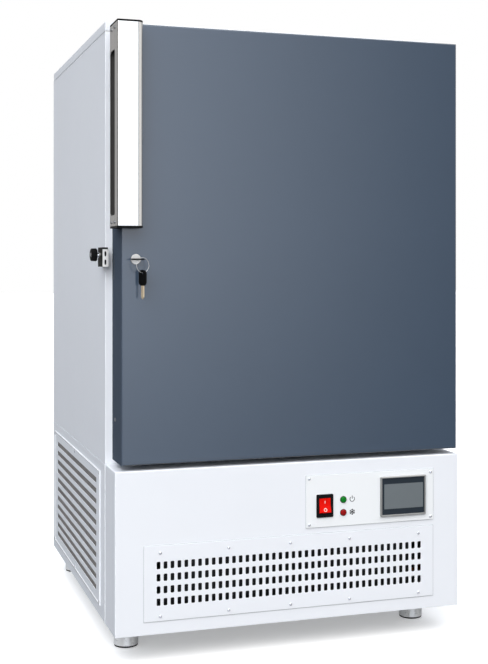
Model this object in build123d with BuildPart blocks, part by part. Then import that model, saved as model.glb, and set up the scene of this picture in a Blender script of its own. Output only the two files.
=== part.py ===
from build123d import *
import os
from math import cos, radians, sin, sqrt, tan

os.makedirs("parts", exist_ok=True)

# Upright ultra low temperature freezer: an insulated cabinet on a machine base, with one main
# door hinged on the right and two inner doors. Origin on the floor under the centre of the
# footprint, +X to the right seen from the front, +Y to the back, +Z up.

# Overall sizes
cabinet_width = 800
carcass_depth = 745
base_overhang = 107
carcass_height = 1313
base_height = 348
cap_height = 22
foot_height = 60
sheet = 1.5
overrun = 6

half_width = cabinet_width / 2
front_y = -(carcass_depth + base_overhang) / 2
face_y = front_y + base_overhang
back_y = -front_y
base_z = foot_height
deck_z = base_z + base_height
cabinet_top = base_z + carcass_height
cap_z = cabinet_top - cap_height
inside_x = half_width - sheet
inside_back_y = back_y - sheet


def block(x, y, z, mode=Mode.ADD):
    """Fills the (low, high) spans with a block."""
    with Locations(((x[0] + x[1]) / 2, (y[0] + y[1]) / 2, (z[0] + z[1]) / 2)):
        Box(x[1] - x[0], y[1] - y[0], z[1] - z[0], mode=mode)


def window(x, y, mode=Mode.ADD):
    """Fills the (low, high) spans of a sketch with a rectangle."""
    with Locations(((x[0] + x[1]) / 2, (y[0] + y[1]) / 2)):
        Rectangle(x[1] - x[0], y[1] - y[0], mode=mode)


def facing_front(y):
    """A sketch plane that looks out of the front, with X to the right and Z up."""
    return Plane.XZ.offset(-y)


def facing_side(x):
    """A sketch plane across the width, with Y to the right and Z up."""
    return Plane.YZ.offset(x)


def level(z):
    """A horizontal sketch plane."""
    return Plane.XY.offset(z)


def keep(piece, name):
    """Labels a finished piece and writes its file."""
    piece.part.label = name
    export_step(piece.part, f"parts/{name}.step")


# Chamber
chamber_width = 540
floor_insulation = 105.5
roof_insulation = 116.5
back_insulation = 127.5
liner_sheet = 1.2
collar_depth = 24
collar_wall = 2
collar_flange = 6
mouth_border = 55

chamber_x = chamber_width / 2
chamber_floor = deck_z + sheet + floor_insulation
chamber_roof = cabinet_top - sheet - roof_insulation
chamber_back = inside_back_y - back_insulation
liner_front = face_y + collar_depth

# Feet, shared by the tray that they screw into
foot_radius = 27
foot_inset = 53
front_foot_setback = 31
rear_foot_setback = 48
stud_radius = 6
running_clearance = 0.05
foot_travel = 12
pocket_clearance = 1.5
pocket_wall = 2.5
nut_radius = 12
nut_height = 14
tray_sheet = 2.5
side_clearance = 0.3

foot_x = half_width - foot_inset
front_foot_y = face_y + front_foot_setback
rear_foot_y = back_y - rear_foot_setback
foot_places = {
    "front_left": (-foot_x, front_foot_y),
    "front_right": (foot_x, front_foot_y),
    "rear_left": (-foot_x, rear_foot_y),
    "rear_right": (foot_x, rear_foot_y),
}
pocket_radius = foot_radius + pocket_clearance
pocket_top = base_z + foot_travel + pocket_clearance + pocket_wall
tray_top = base_z + tray_sheet

# Base: floor tray with a pressed pocket and a nut over each foot
with BuildPart() as base_tray:
    block((-inside_x, inside_x), (front_y + sheet, inside_back_y), (base_z, tray_top))
    with Locations(*[(x, y, base_z) for x, y in foot_places.values()]):
        Cylinder(pocket_radius + pocket_wall, pocket_top - base_z,
                 align=(Align.CENTER, Align.CENTER, Align.MIN))
        Cylinder(nut_radius, pocket_top + nut_height - base_z,
                 align=(Align.CENTER, Align.CENTER, Align.MIN))
    with Locations(*[(x, y, base_z) for x, y in foot_places.values()]):
        Cylinder(pocket_radius, pocket_top - pocket_wall - base_z, mode=Mode.SUBTRACT,
                 align=(Align.CENTER, Align.CENTER, Align.MIN))
        Cylinder(stud_radius + running_clearance, pocket_top + nut_height + overrun - base_z,
                 mode=Mode.SUBTRACT, align=(Align.CENTER, Align.CENTER, Align.MIN))
keep(base_tray, "base_tray")

# Frame: folded angles under a deck carry the cabinet over the machine room
post_width = 30
post_sheet = 2.5

with BuildPart() as base_frame:
    with BuildSketch(level(tray_top)):
        for side in (-1, 1):
            for y, inwards in ((face_y + sheet, 1), (inside_back_y, -1)):
                corner = side * inside_x
                window(sorted((corner, corner - side * post_sheet)),
                       sorted((y, y + inwards * post_width)))
                window(sorted((corner, corner - side * post_width)),
                       sorted((y, y + inwards * post_sheet)))
    extrude(amount=deck_z - tray_top)
    block((-inside_x, inside_x), (face_y + sheet, inside_back_y), (deck_z, deck_z + sheet))
keep(base_frame, "base_frame")

# Control plate, shared with the window behind it
plate_sheet = 2
control_side_margin = 63.5
control_width = 309.5
control_bottom = 202
control_height = 115
control_border = 13
control_x = (half_width - control_side_margin - control_width, half_width - control_side_margin)
control_z = (base_z + control_bottom, base_z + control_bottom + control_height)

# Front grille, shared with the window behind it
grille_left_margin = 62
grille_right_margin = 64
grille_bottom = 28
grille_height = 160
grille_sheet = 1.5
slot_rows = 4
slot_pitch_x = 15.2
slot_pitch_z = 25.9
slot_width = 8.2
slot_height = 15.5
slot_corner = 2
slots_side_margin = 25
slots_setup = 79
grille_border = 8
grille_x = (-half_width + grille_left_margin, half_width - grille_right_margin)
slot_columns = int((grille_x[1] - grille_x[0] - 2 * slots_side_margin - slot_width) / slot_pitch_x) + 1
grille_z = (base_z + grille_bottom, base_z + grille_bottom + grille_height)
slots_centre = ((grille_x[0] + grille_x[1]) / 2 - sheet, grille_z[0] + slots_setup)
slots_half_x = ((slot_columns - 1) * slot_pitch_x + slot_width) / 2 + grille_border
slots_half_z = ((slot_rows - 1) * slot_pitch_z + slot_height) / 2 + grille_border

base_edge_radius = 2.5

with BuildPart() as base_front_panel:
    block((-half_width, half_width), (front_y, face_y), (base_z, deck_z))
    fillet(base_front_panel.faces().sort_by(Axis.Y)[0].edges().filter_by(Axis.Z), base_edge_radius)
    fillet(base_front_panel.edges().filter_by(Axis.X).group_by(Axis.Z)[-1].sort_by(Axis.Y)[0],
           base_edge_radius)
    block((-inside_x, inside_x), (front_y + sheet, face_y + overrun), (base_z - overrun, deck_z - sheet),
          Mode.SUBTRACT)
    with BuildSketch(facing_front(front_y)):
        window((slots_centre[0] - slots_half_x, slots_centre[0] + slots_half_x),
               (slots_centre[1] - slots_half_z, slots_centre[1] + slots_half_z))
        window((control_x[0] + control_border, control_x[1] - control_border),
               (control_z[0] + control_border, control_z[1] - control_border))
    extrude(amount=-sheet - overrun, mode=Mode.SUBTRACT)
keep(base_front_panel, "base_front_panel")

with BuildPart() as front_grille:
    with BuildSketch(facing_front(front_y)):
        window(grille_x, grille_z)
        with Locations(slots_centre):
            with GridLocations(slot_pitch_x, slot_pitch_z, slot_columns, slot_rows):
                RectangleRounded(slot_width, slot_height, slot_corner, mode=Mode.SUBTRACT)
    extrude(amount=grille_sheet)
keep(front_grille, "front_grille")

# Louvred inserts over the windows of the base's side panels, each with a filter behind
louvre_front_setback = 53
louvre_back_setback = 35
louvre_bottom = 24
louvre_top_margin = 23
louvre_overlap = 14
louvre_count = 11
louvre_pitch = 24.2
louvre_slot = 12.5
louvre_end_margin = 44
louvre_slot_corner = 1.5
louvre_sheet = 1.5
filter_overlap = 6
filter_thickness = 6

louvre_y = (face_y + louvre_front_setback, back_y - louvre_back_setback)
louvre_z = (base_z + louvre_bottom, deck_z - louvre_top_margin)
louvre_middle = ((louvre_y[0] + louvre_y[1]) / 2, (louvre_z[0] + louvre_z[1]) / 2)
louvre_window_y = (louvre_y[0] + louvre_overlap, louvre_y[1] - louvre_overlap)
louvre_window_z = (louvre_z[0] + louvre_overlap, louvre_z[1] - louvre_overlap)

with BuildPart() as side_louvres:
    for side in (-1, 1):
        with BuildSketch(facing_side(side * half_width)):
            window(louvre_y, louvre_z)
            with Locations(louvre_middle):
                with GridLocations(0, louvre_pitch, 1, louvre_count):
                    RectangleRounded(louvre_y[1] - louvre_y[0] - 2 * louvre_end_margin, louvre_slot,
                                     louvre_slot_corner, mode=Mode.SUBTRACT)
        extrude(amount=side * louvre_sheet)
keep(side_louvres, "side_louvres")

with BuildPart() as side_filters:
    for side in (-1, 1):
        with BuildSketch(facing_side(side * inside_x)):
            window((louvre_window_y[0] - filter_overlap, louvre_window_y[1] + filter_overlap),
                   (louvre_window_z[0] - filter_overlap, louvre_window_z[1] + filter_overlap))
        extrude(amount=-side * filter_thickness)
keep(side_filters, "side_filters")

# Side and rear panels of the machine room, with vent slots and the hole for the cord gland
vent_length = 210
vent_height = 8
vent_pitch = 20
vent_count = 9
vent_columns_apart = 260
vent_centre_x = -80
gland_side_margin = 100
gland_up = 70
gland_hole_radius = 10
gland_x = half_width - gland_side_margin
gland_z = base_z + gland_up

with BuildPart() as base_panels:
    for side in (-1, 1):
        with BuildSketch(facing_side(side * half_width)):
            window((face_y, back_y), (base_z, deck_z))
            window(louvre_window_y, louvre_window_z, Mode.SUBTRACT)
        extrude(amount=-side * sheet)
    with BuildSketch(facing_front(back_y)):
        window((-inside_x, inside_x), (base_z, deck_z))
        with Locations((vent_centre_x, (base_z + deck_z) / 2)):
            with GridLocations(vent_columns_apart, vent_pitch, 2, vent_count):
                SlotOverall(vent_length, vent_height, mode=Mode.SUBTRACT)
        with Locations((gland_x, gland_z)):
            Circle(gland_hole_radius, mode=Mode.SUBTRACT)
    extrude(amount=sheet)
keep(base_panels, "base_panels")

gland_flange_radius = 14
gland_flange = 4
gland_nose = 18
gland_nose_radius = 9
gland_tip_radius = 6.5
gland_nut = 6
gland_bore_radius = 4

with BuildPart() as cord_gland:
    with BuildSketch(facing_front(back_y + gland_flange)):
        with Locations((gland_x, gland_z)):
            RegularPolygon(gland_flange_radius, 6)
    extrude(amount=gland_flange)
    with BuildSketch(facing_front(back_y + gland_flange)):
        with Locations((gland_x, gland_z)):
            Circle(gland_nose_radius)
    with BuildSketch(facing_front(back_y + gland_flange + gland_nose)):
        with Locations((gland_x, gland_z)):
            Circle(gland_tip_radius)
    loft()
    with BuildSketch(facing_front(back_y)):
        with Locations((gland_x, gland_z)):
            Circle(gland_hole_radius - side_clearance)
    extrude(amount=sheet)
    with BuildSketch(facing_front(back_y - sheet)):
        with Locations((gland_x, gland_z)):
            RegularPolygon(gland_flange_radius, 6)
    extrude(amount=gland_nut)
    with BuildSketch(facing_front(back_y + gland_flange + gland_nose)):
        with Locations((gland_x, gland_z)):
            Circle(gland_bore_radius)
    extrude(amount=gland_nose + gland_flange + sheet + gland_nut, mode=Mode.SUBTRACT)
keep(cord_gland, "cord_gland")

# Cabinet shell
mouth_x = chamber_x + mouth_border
mouth_floor = chamber_floor - mouth_border
mouth_roof = chamber_roof + mouth_border
shell_edge_radius = 2

with BuildPart() as cabinet_shell:
    block((-half_width, half_width), (face_y, back_y), (deck_z, cap_z))
    fillet(cabinet_shell.edges().filter_by(Axis.Z).group_by(Axis.Y)[0], shell_edge_radius)
    block((-inside_x, inside_x), (face_y + sheet, back_y + overrun), (deck_z - overrun, cap_z + overrun),
          Mode.SUBTRACT)
    block((-mouth_x, mouth_x), (face_y - overrun, face_y + sheet + overrun), (mouth_floor, mouth_roof),
          Mode.SUBTRACT)
    block((-inside_x, inside_x), (inside_back_y, back_y), (deck_z, cap_z))
keep(cabinet_shell, "cabinet_shell")

with BuildPart() as top_cover:
    block((-half_width, half_width), (face_y, back_y), (cap_z, cabinet_top))
    fillet(top_cover.faces().sort_by(Axis.Z)[-1].edges(), shell_edge_radius)
    block((-inside_x, inside_x), (face_y + sheet, inside_back_y), (cap_z - overrun, cabinet_top - sheet),
          Mode.SUBTRACT)
keep(top_cover, "top_cover")

with BuildPart() as breaker_collar:
    with BuildSketch(facing_front(face_y)):
        window((-mouth_x, mouth_x), (mouth_floor, mouth_roof))
        window((-chamber_x, chamber_x), (chamber_floor, chamber_roof), Mode.SUBTRACT)
    extrude(amount=-collar_flange)
    with BuildSketch(facing_front(face_y)):
        window((-chamber_x - collar_wall, chamber_x + collar_wall),
               (chamber_floor - collar_wall, chamber_roof + collar_wall))
        window((-chamber_x, chamber_x), (chamber_floor, chamber_roof), Mode.SUBTRACT)
    extrude(amount=-collar_depth)
keep(breaker_collar, "breaker_collar")

with BuildPart() as chamber_liner:
    block((-chamber_x - liner_sheet, chamber_x + liner_sheet), (liner_front, chamber_back + liner_sheet),
          (chamber_floor - liner_sheet, chamber_roof + liner_sheet))
    block((-chamber_x, chamber_x), (liner_front - overrun, chamber_back), (chamber_floor, chamber_roof),
          Mode.SUBTRACT)
keep(chamber_liner, "chamber_liner")

with BuildPart() as cabinet_foam:
    block((-inside_x, inside_x), (face_y + sheet, inside_back_y), (deck_z + sheet, cabinet_top - sheet))
    block((-mouth_x, mouth_x), (face_y - overrun, face_y + collar_flange), (mouth_floor, mouth_roof),
          Mode.SUBTRACT)
    block((-chamber_x - collar_wall, chamber_x + collar_wall), (face_y - overrun, liner_front),
          (chamber_floor - collar_wall, chamber_roof + collar_wall), Mode.SUBTRACT)
    block((-chamber_x - liner_sheet, chamber_x + liner_sheet),
          (face_y - overrun, chamber_back + liner_sheet),
          (chamber_floor - liner_sheet, chamber_roof + liner_sheet), Mode.SUBTRACT)
keep(cabinet_foam, "cabinet_foam")

# Shelves on clips in the tracks
track_width = 20
track_thickness = 3
track_end_gap = 6
front_track_setback = 119
rear_track_setback = 77
shelf_front_setback = 57
shelf_back_gap = 12
shelf_side_gap = 6
shelf_sheet = 1.5
shelf_lip = 16
shelf_pitch = 185
clip_reach = 12
clip_thickness = 3
clip_drop = 10

track_places = (face_y + front_track_setback, chamber_back - rear_track_setback)
shelf_half_width = chamber_x - shelf_side_gap
shelf_y = (face_y + shelf_front_setback, chamber_back - shelf_back_gap)
chamber_middle = (chamber_floor + chamber_roof) / 2
shelf_levels = [chamber_middle + step * shelf_pitch for step in (-1, 0, 1)]

clip_foot = chamber_x - track_thickness
with BuildPart() as shelf_supports:
    for side in (-1, 1):
        for y in track_places:
            block(sorted((side * chamber_x, side * clip_foot)),
                  (y - track_width / 2, y + track_width / 2),
                  (chamber_floor + track_end_gap, chamber_roof - track_end_gap))
    for y in track_places:
        with BuildSketch(facing_front(y + track_width / 2)):
            for top in shelf_levels:
                for side in (-1, 1):
                    with BuildLine():
                        Polyline(
                            (side * clip_foot, top),
                            (side * (clip_foot - clip_reach), top),
                            (side * (clip_foot - clip_reach), top - clip_thickness),
                            (side * (clip_foot - clip_thickness), top - clip_drop),
                            (side * clip_foot, top - clip_drop),
                            close=True,
                        )
                    make_face()
        extrude(amount=track_width)
keep(shelf_supports, "shelf_supports")

with BuildPart() as shelves:
    for bottom in shelf_levels:
        block((-shelf_half_width, shelf_half_width), shelf_y, (bottom, bottom + shelf_sheet))
        for y in (shelf_y[0], shelf_y[1] - shelf_sheet):
            block((-shelf_half_width, shelf_half_width), (y, y + shelf_sheet),
                  (bottom - shelf_lip, bottom + shelf_sheet))
keep(shelves, "shelves")

# Inner doors, each on two pins of the hinge ears
inner_door_setback = 29
inner_door_thickness = 22
inner_side_gap = 8
inner_end_gap = 7.5
inner_middle_gap = 9
inner_axis_in = 6
inner_pin_radius = 4
inner_pin_length = 12
inner_ear_width = 20
inner_ear_thickness = 4
inner_edge_radius = 3
inner_panel_border = 30
inner_panel_depth = 3
knob_radius = 11
knob_length = 10
knob_neck_radius = 6
knob_neck = 4
knob_inset = 34

inner_front = face_y + inner_door_setback
inner_x = chamber_x - inner_side_gap
inner_axis = (inner_x - inner_axis_in, inner_front + inner_axis_in)
inner_spans = {
    "lower_inner_door": (chamber_floor + inner_end_gap, chamber_middle - inner_middle_gap / 2),
    "upper_inner_door": (chamber_middle + inner_middle_gap / 2, chamber_roof - inner_end_gap),
}

for name, span in inner_spans.items():
    with BuildPart() as inner_door:
        block((-inner_x, inner_x), (inner_front, inner_front + inner_door_thickness), span)
        fillet(inner_door.edges().filter_by(Axis.Z), inner_edge_radius)
        block((-inner_x + inner_panel_border, inner_x - inner_panel_border),
              (inner_front - overrun, inner_front + inner_panel_depth),
              (span[0] + inner_panel_border, span[1] - inner_panel_border), Mode.SUBTRACT)
        with BuildSketch(facing_front(inner_front + inner_panel_depth)):
            with Locations((-inner_x + inner_panel_border + knob_inset, (span[0] + span[1]) / 2)):
                Circle(knob_neck_radius)
        extrude(amount=knob_neck + inner_panel_depth)
        with BuildSketch(facing_front(inner_front - knob_neck)):
            with Locations((-inner_x + inner_panel_border + knob_inset, (span[0] + span[1]) / 2)):
                Circle(knob_radius)
        extrude(amount=knob_length - knob_neck)
        for z, direction in ((span[0], Align.MIN), (span[1], Align.MAX)):
            with Locations((*inner_axis, z)):
                Cylinder(inner_pin_radius + running_clearance, inner_pin_length + inner_end_gap,
                         mode=Mode.SUBTRACT, align=(Align.CENTER, Align.CENTER, direction))
    keep(inner_door, name)

ear_gap = (inner_middle_gap - inner_ear_thickness) / 2
inner_ears = (
    (inner_spans["lower_inner_door"][0] - ear_gap - inner_ear_thickness, (1,)),
    (chamber_middle - inner_ear_thickness / 2, (-1, 1)),
    (inner_spans["upper_inner_door"][1] + ear_gap, (-1,)),
)

with BuildPart() as inner_hinge_ears:
    for bottom, directions in inner_ears:
        block((inner_axis[0] - inner_ear_width / 2, chamber_x),
              (inner_front, inner_front + inner_ear_width), (bottom, bottom + inner_ear_thickness))
        for direction in directions:
            start = bottom + inner_ear_thickness if direction > 0 else bottom
            with Locations((*inner_axis, start)):
                Cylinder(inner_pin_radius, inner_pin_length + ear_gap,
                         align=(Align.CENTER, Align.CENTER, Align.MIN if direction > 0 else Align.MAX))
keep(inner_hinge_ears, "inner_hinge_ears")

# Main door
door_left_inset = 13.5
door_right_inset = 3
door_gap_below = 12
door_gap_above = 1
door_thickness = 94
door_sheet = 1.2
door_edge_radius = 4
plug_clearance = 8
plug_depth = 27
plug_edge_radius = 10

door_x = (-half_width + door_left_inset, half_width - door_right_inset)
door_z = (deck_z + door_gap_below, cap_z - door_gap_above)
door_back = front_y + door_thickness
plug_x = chamber_x - plug_clearance
plug_z = (chamber_floor + plug_clearance, chamber_roof - plug_clearance)
door_inside_x = (door_x[0] + door_sheet, door_x[1] - door_sheet)
door_inside_z = (door_z[0] + door_sheet, door_z[1] - door_sheet)

# Handle's length and place, shared by the lock under it
handle_length = 430
handle_below_top = 1
handle_z = (door_z[1] - handle_below_top - handle_length, door_z[1] - handle_below_top)

# Lock: places shared by the skin, the foam, the cylinder and the strike
lock_in = 31
lock_below_handle = 65
lock_x = door_x[0] + lock_in
lock_z = handle_z[0] - lock_below_handle
lock_face_radius = 11
lock_face_proud = 2.5
lock_barrel_radius = 9.2
lock_plug_radius = 7.5
cam_thickness = 4
cam_width = 12
cam_length = 49
cam_setback = 76
cam_case_wall = 1.5
cam_case_gap = 1.5
cam_y = (front_y + cam_setback, front_y + cam_setback + cam_thickness)
case_y = (cam_y[0] - cam_case_gap - cam_case_wall, cam_y[1] + cam_case_gap + cam_case_wall)
case_x = (door_inside_x[0], lock_x + cam_width)
case_z = (lock_z - cam_length - 2 * cam_case_gap - cam_case_wall, lock_z + cam_width)
slot_z = (lock_z - sqrt(cam_length**2 - lock_in**2) - cam_width / 2, lock_z + cam_width / 2 + cam_case_gap)
slot_y = (cam_y[0] - cam_case_gap, cam_y[1] + cam_case_gap)
plug_hole_setback = 62
plug_hole_up = 90
plug_hole_radius = 3

with BuildPart() as door_skin:
    block(door_x, (front_y, door_back), door_z)
    fillet(door_skin.faces().sort_by(Axis.Y)[0].edges(), door_edge_radius)
    block(door_inside_x, (front_y + door_sheet, door_back + overrun), door_inside_z, Mode.SUBTRACT)
    with BuildSketch(facing_front(front_y)):
        with Locations((lock_x, lock_z)):
            Circle(lock_barrel_radius + side_clearance)
    extrude(amount=-door_sheet - overrun, mode=Mode.SUBTRACT)
    block((door_x[0] - overrun, door_x[0] + overrun), slot_y, slot_z, Mode.SUBTRACT)
    with BuildSketch(facing_side(door_x[0])):
        with Locations((front_y + plug_hole_setback, door_z[0] + plug_hole_up)):
            Circle(plug_hole_radius)
    extrude(amount=overrun, mode=Mode.SUBTRACT)
keep(door_skin, "door_skin")

# The foam of the plug, shared by the liner that holds it and the foam of the door
with BuildPart() as plug_core:
    block((-plug_x + sheet, plug_x - sheet), (door_back - sheet, door_back + plug_depth - sheet),
          (plug_z[0] + sheet, plug_z[1] - sheet))
    fillet(plug_core.faces().sort_by(Axis.Y)[-1].edges(), plug_edge_radius - sheet)

with BuildPart() as door_liner:
    block(door_inside_x, (door_back - sheet, door_back), door_inside_z)
    block((-plug_x, plug_x), (door_back - sheet, door_back + plug_depth), plug_z)
    fillet(door_liner.faces().sort_by(Axis.Y)[-1].edges(), plug_edge_radius)
    add(plug_core.part, mode=Mode.SUBTRACT)
keep(door_liner, "door_liner")

with BuildPart() as door_foam:
    block(door_inside_x, (front_y + door_sheet, door_back - sheet), door_inside_z)
    add(plug_core.part)
    with BuildSketch(facing_front(front_y)):
        with Locations((lock_x, lock_z)):
            Circle(lock_barrel_radius)
    extrude(amount=-(case_y[0] - front_y), mode=Mode.SUBTRACT)
    block((case_x[0] - overrun, case_x[1]), case_y, case_z, Mode.SUBTRACT)
keep(door_foam, "door_foam")

gasket_outset = 8
gasket_width = 26
gasket_clearance = 0.4
gasket_lip_radius = 4

with BuildPart() as door_gasket:
    gasket_outer_x = (door_x[0] + gasket_outset, door_x[1] - gasket_outset)
    gasket_outer_z = (door_z[0] + gasket_outset, door_z[1] - gasket_outset)
    block(gasket_outer_x, (door_back, face_y - gasket_clearance), gasket_outer_z)
    fillet(door_gasket.faces().sort_by(Axis.Y)[-1].edges(), gasket_lip_radius)
    block((gasket_outer_x[0] + gasket_width, gasket_outer_x[1] - gasket_width),
          (door_back - overrun, face_y + overrun),
          (gasket_outer_z[0] + gasket_width, gasket_outer_z[1] - gasket_width), Mode.SUBTRACT)
keep(door_gasket, "door_gasket")

# Handle: a folded channel that stands off the door front and wraps round its left edge
handle_outset = 17.5
handle_width = 56
handle_standoff = 45
handle_reach = 33
handle_sheet = 2
handle_bevel_radius = 13
handle_corner_radius = 3
handle_foot = 16
finger_slot_setback = 27
finger_slot_width = 47
finger_slot_bottom = 27
finger_slot_top = 58
finger_slot_radius = 6
mount_length = 25
mount_flange = 4

handle_x = (door_x[0] - handle_outset, door_x[0] - handle_outset + handle_width)
handle_front = front_y - handle_standoff
handle_back = front_y + handle_reach
channel_z = (handle_z[0] + mount_flange, handle_z[1] - mount_flange)

with BuildPart() as handle_channel:
    with BuildSketch(level(channel_z[0])):
        with BuildLine():
            FilletPolyline(
                (handle_x[0], handle_back),
                (handle_x[0], handle_front),
                (handle_x[1], handle_front),
                (handle_x[1], front_y),
                (handle_x[1] - handle_foot, front_y),
                (handle_x[1] - handle_foot, front_y - handle_sheet),
                (handle_x[1] - handle_sheet, front_y - handle_sheet),
                (handle_x[1] - handle_sheet, handle_front + handle_sheet),
                (handle_x[0] + handle_sheet, handle_front + handle_sheet),
                (handle_x[0] + handle_sheet, handle_back),
                close=True,
                radius=(0, handle_corner_radius, handle_bevel_radius, 0, 0, 0, 0,
                        handle_bevel_radius - handle_sheet, handle_corner_radius - handle_sheet, 0),
            )
        make_face()
    extrude(amount=channel_z[1] - channel_z[0])
    with BuildSketch(facing_side(handle_x[0])):
        with Locations((handle_front + finger_slot_setback + finger_slot_width / 2,
                        (handle_z[0] + finger_slot_bottom + handle_z[1] - finger_slot_top) / 2)):
            RectangleRounded(finger_slot_width,
                             handle_length - finger_slot_bottom - finger_slot_top, finger_slot_radius)
    extrude(amount=handle_sheet + overrun / 2, mode=Mode.SUBTRACT)
keep(handle_channel, "handle_channel")

# The two moulded mounts close the channel's ends and fill the step round the door's edge
mount_back = handle_back - 2 * handle_sheet
with BuildPart() as handle_mounts:
    for z, inwards in ((handle_z[0], 1), (handle_z[1], -1)):
        with BuildSketch(level(z)):
            with BuildLine():
                FilletPolyline(
                    (handle_x[0], handle_back),
                    (handle_x[0], handle_front),
                    (handle_x[1], handle_front),
                    (handle_x[1], front_y),
                    (door_x[0], front_y),
                    (door_x[0], handle_back),
                    close=True,
                    radius=(0, handle_corner_radius, handle_bevel_radius, 0, 0, 0),
                )
            make_face()
        extrude(amount=inwards * mount_flange)
        with BuildSketch(level(z)):
            with BuildLine():
                FilletPolyline(
                    (handle_x[0] + handle_sheet, mount_back),
                    (handle_x[0] + handle_sheet, handle_front + handle_sheet),
                    (handle_x[1] - handle_sheet, handle_front + handle_sheet),
                    (handle_x[1] - handle_sheet, front_y - handle_sheet),
                    (handle_x[1] - handle_foot, front_y - handle_sheet),
                    (handle_x[1] - handle_foot, front_y),
                    (door_x[0], front_y),
                    (door_x[0], mount_back),
                    close=True,
                    radius=(0, handle_corner_radius, handle_bevel_radius, 0, 0, 0,
                            0, 0),
                )
            make_face()
        extrude(amount=inwards * mount_length)
keep(handle_mounts, "handle_mounts")

# Screws of the handle, and the plug in the hole that the door was foamed through
handle_screw_radius = 3.5
handle_screw_head = 1.8
handle_screw_setback = 28
handle_screw_depth = 12
plug_head_radius = 4.5
plug_head = 1

with BuildPart() as door_fasteners:
    for z in (handle_z[0] + mount_length / 2, handle_z[1] - mount_length / 2):
        for y in (handle_front + handle_screw_setback, mount_back - handle_screw_depth):
            with BuildSketch(facing_side(handle_x[0])):
                with Locations((y, z)):
                    Circle(handle_screw_radius)
            extrude(amount=-handle_screw_head)
    with BuildSketch(facing_side(door_x[0])):
        with Locations((front_y + plug_hole_setback, door_z[0] + plug_hole_up)):
            Circle(plug_head_radius)
    extrude(amount=-plug_head)
    with BuildSketch(facing_side(door_x[0])):
        with Locations((front_y + plug_hole_setback, door_z[0] + plug_hole_up)):
            Circle(plug_hole_radius)
    extrude(amount=door_sheet)
keep(door_fasteners, "door_fasteners")

# External hinges on the right side
hinge_axis_out = 12
hinge_axis_forward = 6.5
knuckle_radius = 8
hinge_pin_radius = 4
leaf_thickness = 4
leaf_length = 100
leaf_root_setback = 4
leaf_reach = 53
door_leaf_front_gap = 26
door_leaf_back_gap = 4
knuckle_root = 14
knuckle_gap = 0.3
pin_overhang = 3
hinge_inset = 100

hinge_axis = (half_width + hinge_axis_out, face_y - hinge_axis_forward)
hinge_levels = (door_z[0] + hinge_inset, door_z[1] - hinge_inset)
middle_knuckle = leaf_length / 3

with BuildPart() as hinge_cabinet_leaves:
    for z in hinge_levels:
        with BuildSketch(level(z - leaf_length / 2)):
            window((half_width, half_width + leaf_thickness),
                   (face_y + leaf_root_setback, face_y + leaf_root_setback + leaf_reach))
        extrude(amount=leaf_length)
        with BuildSketch(level(z - middle_knuckle / 2)):
            with Locations(hinge_axis):
                Circle(knuckle_radius)
            window((half_width, half_width + leaf_thickness),
                   (face_y + leaf_root_setback, face_y + leaf_root_setback + knuckle_root))
            make_hull()
        extrude(amount=middle_knuckle)
        with Locations((*hinge_axis, z)):
            Cylinder(hinge_pin_radius, leaf_length + 2 * pin_overhang)
keep(hinge_cabinet_leaves, "hinge_cabinet_leaves")

with BuildPart() as hinge_door_leaves:
    for z in hinge_levels:
        with BuildSketch(level(z - leaf_length / 2)):
            window((door_x[1], door_x[1] + leaf_thickness),
                   (front_y + door_leaf_front_gap, door_back - door_leaf_back_gap))
        extrude(amount=leaf_length)
        with BuildSketch(level(z - leaf_length / 2)):
            with Locations(hinge_axis):
                Circle(knuckle_radius)
            window((door_x[1], door_x[1] + leaf_thickness),
                   (door_back - door_leaf_back_gap - knuckle_root, door_back - door_leaf_back_gap))
            make_hull()
        extrude(amount=leaf_length)
        with BuildSketch(level(z - middle_knuckle / 2 - knuckle_gap)):
            window((door_x[1] + leaf_thickness, hinge_axis[0] + knuckle_radius + overrun),
                   (door_back - door_leaf_back_gap - knuckle_root, hinge_axis[1] + knuckle_radius + overrun))
            window((half_width - door_right_inset, hinge_axis[0] + knuckle_radius + overrun),
                   (door_back - door_leaf_back_gap, hinge_axis[1] + knuckle_radius + overrun))
        extrude(amount=middle_knuckle + 2 * knuckle_gap, mode=Mode.SUBTRACT)
        with Locations((*hinge_axis, z)):
            Cylinder(hinge_pin_radius + running_clearance, leaf_length + 2 * overrun, mode=Mode.SUBTRACT)
keep(hinge_door_leaves, "hinge_door_leaves")

# Lock: body in the door, with a flat case for the cam behind the barrel
barrel_clearance = 0.2
plug_length = 32
keyway_width = 9.4
keyway_height = 2.8
keyway_depth = 29
tail_radius = 3
cylinder_recess = 0.3

lock_plane = facing_front(front_y)
with BuildPart() as lock_body:
    with BuildSketch(lock_plane):
        with Locations((lock_x, lock_z)):
            Circle(lock_face_radius)
    extrude(amount=lock_face_proud)
    fillet(lock_body.faces().sort_by(Axis.Y)[0].edges(), lock_face_proud / 2)
    with BuildSketch(lock_plane):
        with Locations((lock_x, lock_z)):
            Circle(lock_barrel_radius - barrel_clearance)
    extrude(amount=-(case_y[0] - front_y))
    block(case_x, case_y, case_z)
    block((case_x[0] - overrun, case_x[1] - cam_case_wall),
          (case_y[0] + cam_case_wall, case_y[1] - cam_case_wall),
          (case_z[0] + cam_case_wall, case_z[1] - cam_case_wall), Mode.SUBTRACT)
    with BuildSketch(facing_front(front_y - lock_face_proud)):
        with Locations((lock_x, lock_z)):
            Circle(lock_plug_radius + running_clearance)
    extrude(amount=-lock_face_proud - plug_length - running_clearance, mode=Mode.SUBTRACT)
    with BuildSketch(lock_plane):
        with Locations((lock_x, lock_z)):
            Circle(tail_radius + running_clearance)
    extrude(amount=-(cam_y[0] - front_y), mode=Mode.SUBTRACT)
keep(lock_body, "lock_body")

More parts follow.
